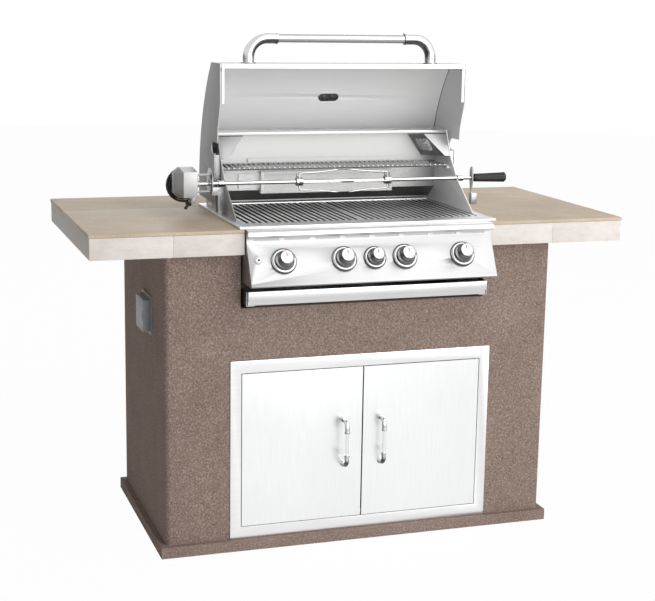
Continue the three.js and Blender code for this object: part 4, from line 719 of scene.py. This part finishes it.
# Light button. A small round push button, chromed, at the left end of the panel, with a dark
# lens dot in its middle; it is pressed to switch the two lamps.
button_seat = on_panel(-328, 50)
button_profile = [(0, -0.014), (0.0079, -0.014), (0.0079, 0.0028), (0.0072, 0.0038),
                  (0.0060, 0.0040), (0, 0.0034)]
dot_profile = [(0, 0.0036), (0.0034, 0.0036), (0.0034, 0.0046), (0, 0.0048)]
button = turned_round("button", button_profile, button_seat, panel_out, bezel_chrome, 40)
lens_dot = turned_round("dot", dot_profile, button_seat, panel_out, dark_paint_and_painted_shade, 24)
kept_together("light_button_cap", [button, lens_dot], "light_button", "polished", "light_switch")


# Wind guards, rear housing and lamps. Stainless plates stand at both sides and behind the grill;
# a lamp with a ribbed glass lens sits in each upper rear corner.
# The same stainless steel in lit and shaded copies: the left guard and left lamp darker, as
# painted shade, the right guard and right lamp lighter, as painted light.
left_guard_painted_shade = brushed_steel("left guard steel, painted shade", grain_upright, grey(150), 0.36)
right_guard_painted_light = brushed_steel("right guard steel, painted light", grain_upright, grey(250), 0.5, 0.1)
left_lamp_steel_painted_shade = brushed_steel("left lamp steel, painted shade", grain_upright, grey(146), 0.5)
right_lamp_steel_painted_light = brushed_steel("right lamp steel, painted light", grain_upright, grey(168), 0.45)
housing_steel = brushed_steel("housing steel brushed level", grain_level, (170, 170, 169), 0.42)
lip_steel = brushed_steel("lip steel brushed level", grain_level, grey(183), 0.3)
dressed("cheek_left", left_guard_painted_shade, "base", 0.0004)
dressed("cheek_right", right_guard_painted_light, "base", 0.0004)
dressed("lamp_housing_left", left_lamp_steel_painted_shade, "base", 0.0006)
dressed("lamp_housing_right", right_lamp_steel_painted_light, "base", 0.0006)
dressed("rear_housing", lip_steel, "base", 0.0004)
dressed("rear_panel", housing_steel, "base")
lens_glass = Finish("lamp glass", Specular_IOR_Level=0.5, IOR=1.5)
ribs = lens_glass.noise(1, 2, 0.5, (500, 40, 40))
lens_glass.give(
    Base_Color=lens_glass.shades(ribs, [(0.36, (184, 186, 188)), (0.6, (250, 251, 252))]),
    Roughness=ribs * 0.15 + 0.08,
    Normal=lens_glass.bump(ribs, 0.15, 0.0005))
for side in ("left", "right"):
    dressed("lamp_lens_" + side, lens_glass, "base", 0.0006)


# Warming rack and rear burner. Chromed wires lie across two rods; the burner behind them has a
# ceramic face in a steel box, with a plain plate at its left end.
rack_wire = brushed_steel("rack wire chrome", (60, 60, 60), (186, 187, 188), 0.26)
dressed("warming_rack", rack_wire, "base")
burner_face = Finish("rear burner ceramic", Specular_IOR_Level=0.3)
cells = burner_face.cells(260)
fired = burner_face.noise(12, 4, 0.6)
end_plate = burner_face.along("X") < -0.197
burner_face.give(
    Base_Color=burner_face.shades((cells * 0.5 + fired * 0.5) * 0.7 + end_plate * 0.4, [
        (0.14, (222, 221, 219)), (0.42, (240, 239, 237)), (0.6, grey(252))]),
    Roughness=fired * 0.2 + 0.6,
    Normal=burner_face.bump(cells, 0.3, 0.0015))
dressed("rear_burner", burner_face, "base")


# Hood. One curved skin of brushed steel with side panels and turned-in flanges, which rides on
# two hinge studs; its outside and its side panels are painted darker than the inside of the skin,
# as painted shade, and a narrow band of painted shade runs along the inside where they meet.
hinge_y, hinge_z = 323.5, 1018.5


def opened(x, y, z):
    """A place on the closed hood, carried round the hinge to where it is with the hood open."""
    return spot(x, hinge_y + z - hinge_z, hinge_z + hinge_y - y)


skin_radius = 509
skin_centre_y, skin_centre_z = 361.15, 669.14
side_panel_from = 0.3655
seam_painted_shade_from = 0.3636
hood_steel = Finish("hood steel brushed level with painted light and shade", Metallic=0.8)
hood_streaks = hood_steel.noise(1, 5, 0.65, grain_level)
off_middle = abs(hood_steel.along("X"))
beside = off_middle > side_panel_from
seam_painted_shade = off_middle > seam_painted_shade_from
from_centre = hood_steel.node("ShaderNodeVectorMath", {"operation": "SUBTRACT"}, {
    0: hood_steel.lie(), 1: tuple(opened(0, skin_centre_y, skin_centre_z))})
outward = hood_steel.node("ShaderNodeVectorMath", {"operation": "DOT_PRODUCT"}, {
    0: from_centre, 1: hood_steel.node("ShaderNodeTexCoord", out="Normal")}, out="Value")
outside = outward > 0.0
inside = 1 - outside
# One steel in lit and shaded copies: the inside of the skin lightest, a dark band of painted shade
# at the inside seam, the inside of the side panels darker, the outside darker still.
inner_skin = [(0.0, grey(242)), (0.1, grey(253))]
inner_seam_painted_shade = [(0.24, grey(76)), (0.36, grey(96))]
inner_side_painted_shade = [(0.46, grey(210)), (0.58, grey(228))]
outer_skin_painted_shade = [(0.64, grey(168)), (0.76, grey(182))]
outer_side_painted_shade = [(0.81, grey(130)), (0.93, grey(146))]
outer_place = outside * (beside * 0.17 + 0.65)
inner_place = inside * (seam_painted_shade * 0.25 + beside * 0.22)
hood_steel.give(
    Base_Color=hood_steel.shades(hood_streaks * 0.1 + outer_place + inner_place,
                                 inner_skin + inner_seam_painted_shade + inner_side_painted_shade + outer_skin_painted_shade + outer_side_painted_shade),
    Roughness=hood_streaks * 0.1 + 0.52,
    Normal=hood_steel.bump(hood_streaks, 0.02, 0.0004))
dressed("hood_shell", hood_steel, "hood", 0.0005)


# Hood handle. A satin tube nearly as wide as the hood, held off its front by two chromed elbows
# with round feet against the skin and collars round the tube's ends.
hood_tube = brushed_steel("hood handle tube brushed round", (40, 600, 600), (179, 179, 180), 0.24)
handle_foot_x, elbow_end_x, collar_x, tube_end_x = 274, 191.7, 190.5, 195
handle_y, handle_z = -68, 977
elbow_root_y, foot_y = -0.3, 1.7
handle_bend = 0.054
handle_elbow_radius, handle_tube_radius = 0.016, 0.0125
hood_foot_profile = [(0, 0), (0.0208, 0), (0.0209, 0.0020), (0.0200, 0.0034), (0.0180, 0.0040),
                     (0, 0.0040)]
hood_collar_profile = [(0.0125, 0), (0.0165, 0), (0.0171, 0.0008), (0.0171, 0.0053),
                       (0.0165, 0.0062), (0.0125, 0.0062)]
parts = []
for end in (-1, 1):
    corner = opened(end * handle_foot_x, handle_y, handle_z)
    elbow = [opened(end * handle_foot_x, elbow_root_y, handle_z),
             *arc_points(corner, (0, 0, -1), (-end, 0, 0), handle_bend, 22),
             opened(end * elbow_end_x, handle_y, handle_z)]
    parts.append(bent_round("elbow", elbow, handle_elbow_radius, polished, 10))
    parts.append(turned_round("foot", hood_foot_profile,
                              opened(end * handle_foot_x, foot_y, handle_z),
                              (0, 0, 1), polished, 56))
    parts.append(turned_round("collar", hood_collar_profile,
                              opened(end * collar_x, handle_y, handle_z),
                              (end, 0, 0), polished, 56))
tube_ends = [opened(-tube_end_x, handle_y, handle_z), opened(tube_end_x, handle_y, handle_z)]
parts.append(bent_round("tube", tube_ends, handle_tube_radius, hood_tube, 10))
kept_together("hood_pull", parts, "hood", "polished", "hood_handle")


# Hood gauge. A round dial in a chromed bezel on the outside of the hood, with degree marks and a
# needle; inside, its stem is held by an oval plate and two nuts.
gauge_x, gauge_y = 6, 103
gauge_turn = math.acos((skin_centre_y - gauge_y) / skin_radius)
gauge_foot = opened(gauge_x, gauge_y, skin_centre_z + skin_radius * math.sin(gauge_turn))
gauge_out = Vector((0, math.sin(gauge_turn), math.cos(gauge_turn)))
gauge_up = Vector((0, -math.cos(gauge_turn), math.sin(gauge_turn)))
gauge_across = gauge_up.cross(gauge_out)
dressed("hood_gauge", polished, "hood")
dial_face = Finish("white dial face", Specular_IOR_Level=0.4)
dial_print = dial_face.noise(400, 2)
dial_face.give(
    Base_Color=dial_face.shades(dial_print, [(0.3, (232, 232, 230)), (0.7, (244, 244, 242))]),
    Roughness=dial_print * 0.1 + 0.35)
face_profile = [(0, 0.0101), (0.0278, 0.0101), (0.0278, 0.0106), (0, 0.0106)]
boss_profile = [(0, 0.0106), (0.0026, 0.0106), (0.0022, 0.0120), (0, 0.0122)]


def on_dial(degrees, radius, height):
    """A place over the dial, round from its top, out from its middle and off the hood."""
    around = math.radians(degrees)
    toward = gauge_up * math.cos(around) + gauge_across * math.sin(around)
    return gauge_foot + gauge_out * height + toward * radius


first_mark, mark_step, mark_count = -130, 13, 21
mark_outer, long_mark_inner, short_mark_inner = 0.0255, 0.0205, 0.0225
mark_height, mark_radius = 0.0108, 0.0004
needle_at, needle_height, needle_radius = -118, 0.0112, 0.0006
needle_tail, needle_tip = -0.006, 0.019
parts = [turned_round("face", face_profile, gauge_foot, gauge_out, dial_face, 56)]
for mark in range(mark_count):
    degrees = first_mark + mark_step * mark
    mark_inner = short_mark_inner if mark % 5 else long_mark_inner
    mark_ends = [on_dial(degrees, mark_inner, mark_height),
                 on_dial(degrees, mark_outer, mark_height)]
    parts.append(bent_round("mark", mark_ends, mark_radius, dark_paint_and_painted_shade, 1))
needle_ends = [on_dial(needle_at, needle_tail, needle_height),
               on_dial(needle_at, needle_tip, needle_height)]
parts.append(bent_round("needle", needle_ends, needle_radius, pointer_red, 2))
parts.append(turned_round("boss", boss_profile, gauge_foot, gauge_out, dark_paint_and_painted_shade, 24))
kept_together("gauge_dial", parts, "hood", "polished")


# Rotisserie. A chromed spit with two forks runs across the grill from the motor on the left to a
# fluted black handle on the right, with a weighted blade beside the handle.
spit_y, spit_z = 240, 1009


def on_spit(x):
    """A place on the spit's own line, in millimetres to the right of the middle."""
    return spot(x, spit_y, spit_z)


spit_steel = chromed("spit steel", 92, 204, 0.18)
rod_profile = [(0, 0), (0.0040, 0), (0.0055, 0.0016), (0.0055, 0.8624), (0.0040, 0.864),
               (0, 0.864)]
bush_profile = [(0.0055, 0), (0.0082, 0), (0.0090, 0.0009), (0.0090, 0.0080), (0.0078, 0.0088),
                (0.0078, 0.0098), (0.0090, 0.0106), (0.0090, 0.0175), (0.0082, 0.0184),
                (0.0055, 0.0184)]
rod_left_end = -434
bush_x = 353.6
parts = [turned_round("rod", rod_profile, on_spit(rod_left_end), (1, 0, 0), spit_steel, 32)]
for end in (-1, 1):
    parts.append(turned_round("bush", bush_profile, on_spit(end * bush_x), (end, 0, 0),
                              polished, 40))
kept_together("spit_bar", parts, "spit", "polished", "spit_rod")

hub_profile = [(0.0057, 0), (0.0110, 0), (0.0120, 0.0010), (0.0120, 0.0190), (0.0110, 0.0200),
               (0.0057, 0.0200), (0.0057, 0)]
point_profile = [(0.0022, 0), (0.0016, 0.005), (0.0005, 0.0096), (0, 0.0098)]
screw_profile = [(0, 0.006), (0.0024, 0.006), (0.0024, 0.0165), (0.0036, 0.0170),
                 (0.0040, 0.0180), (0.0040, 0.0258), (0.0034, 0.0268), (0, 0.0270)]
hub_x, prong_x = 124, 134
prong_root, prong_bend_out, prong_start_out, prong_tip_out = 0.0098, 0.024, 0.02625, 0.0315
prong_straight, prong_length = 0.059, 0.108
prong_bend, prong_radius = 0.007, 0.0022
point_out, point_forward = 0.0012, 0.010
for side, facing in (("left", -1), ("right", 1)):
    parts = [turned_round("hub", hub_profile, on_spit(facing * hub_x), (facing, 0, 0),
                          polished, 44)]
    middle = on_spit(facing * prong_x)
    for quarter in range(4):
        around = quarter * math.pi / 2
        out = Vector((0, math.cos(around), math.sin(around)))
        tip = middle + out * prong_tip_out + Vector((-facing * prong_length, 0, 0))
        prong = [middle + out * prong_root,
                 *arc_points(middle + out * prong_bend_out, -out, (-facing, 0, 0), prong_bend, 8),
                 middle + out * prong_start_out + Vector((-facing * prong_straight, 0, 0)),
                 tip]
        parts.append(bent_round("prong", prong, prong_radius, spit_steel, 4))
        tip_along = out * point_out + Vector((-facing * point_forward, 0, 0))
        tip_along = tip_along.normalized()
        parts.append(turned_round("point", point_profile, tip, tip_along, spit_steel, 16))
    screw_out = Vector((0, math.sqrt(0.5), math.sqrt(0.5)))
    parts.append(turned_round("thumb_screw", screw_profile, middle, screw_out, polished, 24))
    kept_together("fork_" + side, parts, "spit", "polished", "spit_fork_" + side)

plate_metal = brushed_steel("bracket plate steel", (60, 260, 260), (166, 167, 168), 0.36)
dressed("counterbalance", plate_metal, "spit", 0.0004)
black_grip = Finish("black moulded grip", Specular_IOR_Level=0.45)
mould = black_grip.noise(420, 4, 0.6)
black_grip.give(
    Base_Color=black_grip.shades(mould, [(0.3, (16, 16, 17)), (0.7, (34, 34, 35))]),
    Roughness=mould * 0.25 + 0.35,
    Normal=black_grip.bump(mould, 0.12, 0.0003))
dressed("spit_handle", black_grip, "spit", crease=50)


# Spit motor. A plain steel case on a folded bracket at the left wind guard; the case's left end is
# painted darker than its front, as painted shade, and the lead's moulded plug hangs behind it.
case_end_x = -0.4775
motor_metal = Finish("motor case steel", Metallic=0.8)
motor_grain = motor_metal.noise(1, 4, 0.6, (260, 260, 60))
left_end_painted_shade = motor_metal.along("X") < case_end_x
motor_metal.give(
    Base_Color=motor_metal.shades(motor_grain * 0.12 + left_end_painted_shade * 0.8, [
        (0.0, grey(162)), (0.12, grey(178)), (0.75, grey(124)), (0.95, grey(142))]),
    Roughness=motor_grain * 0.15 + 0.36,
    Normal=motor_metal.bump(motor_grain, 0.03, 0.0004))
dressed("rotisserie_motor", motor_metal, "base", 0.0006)
dressed("motor_bracket", plate_metal, "base", 0.0003)
dressed("cord_plug", black_grip, "base", crease=50)
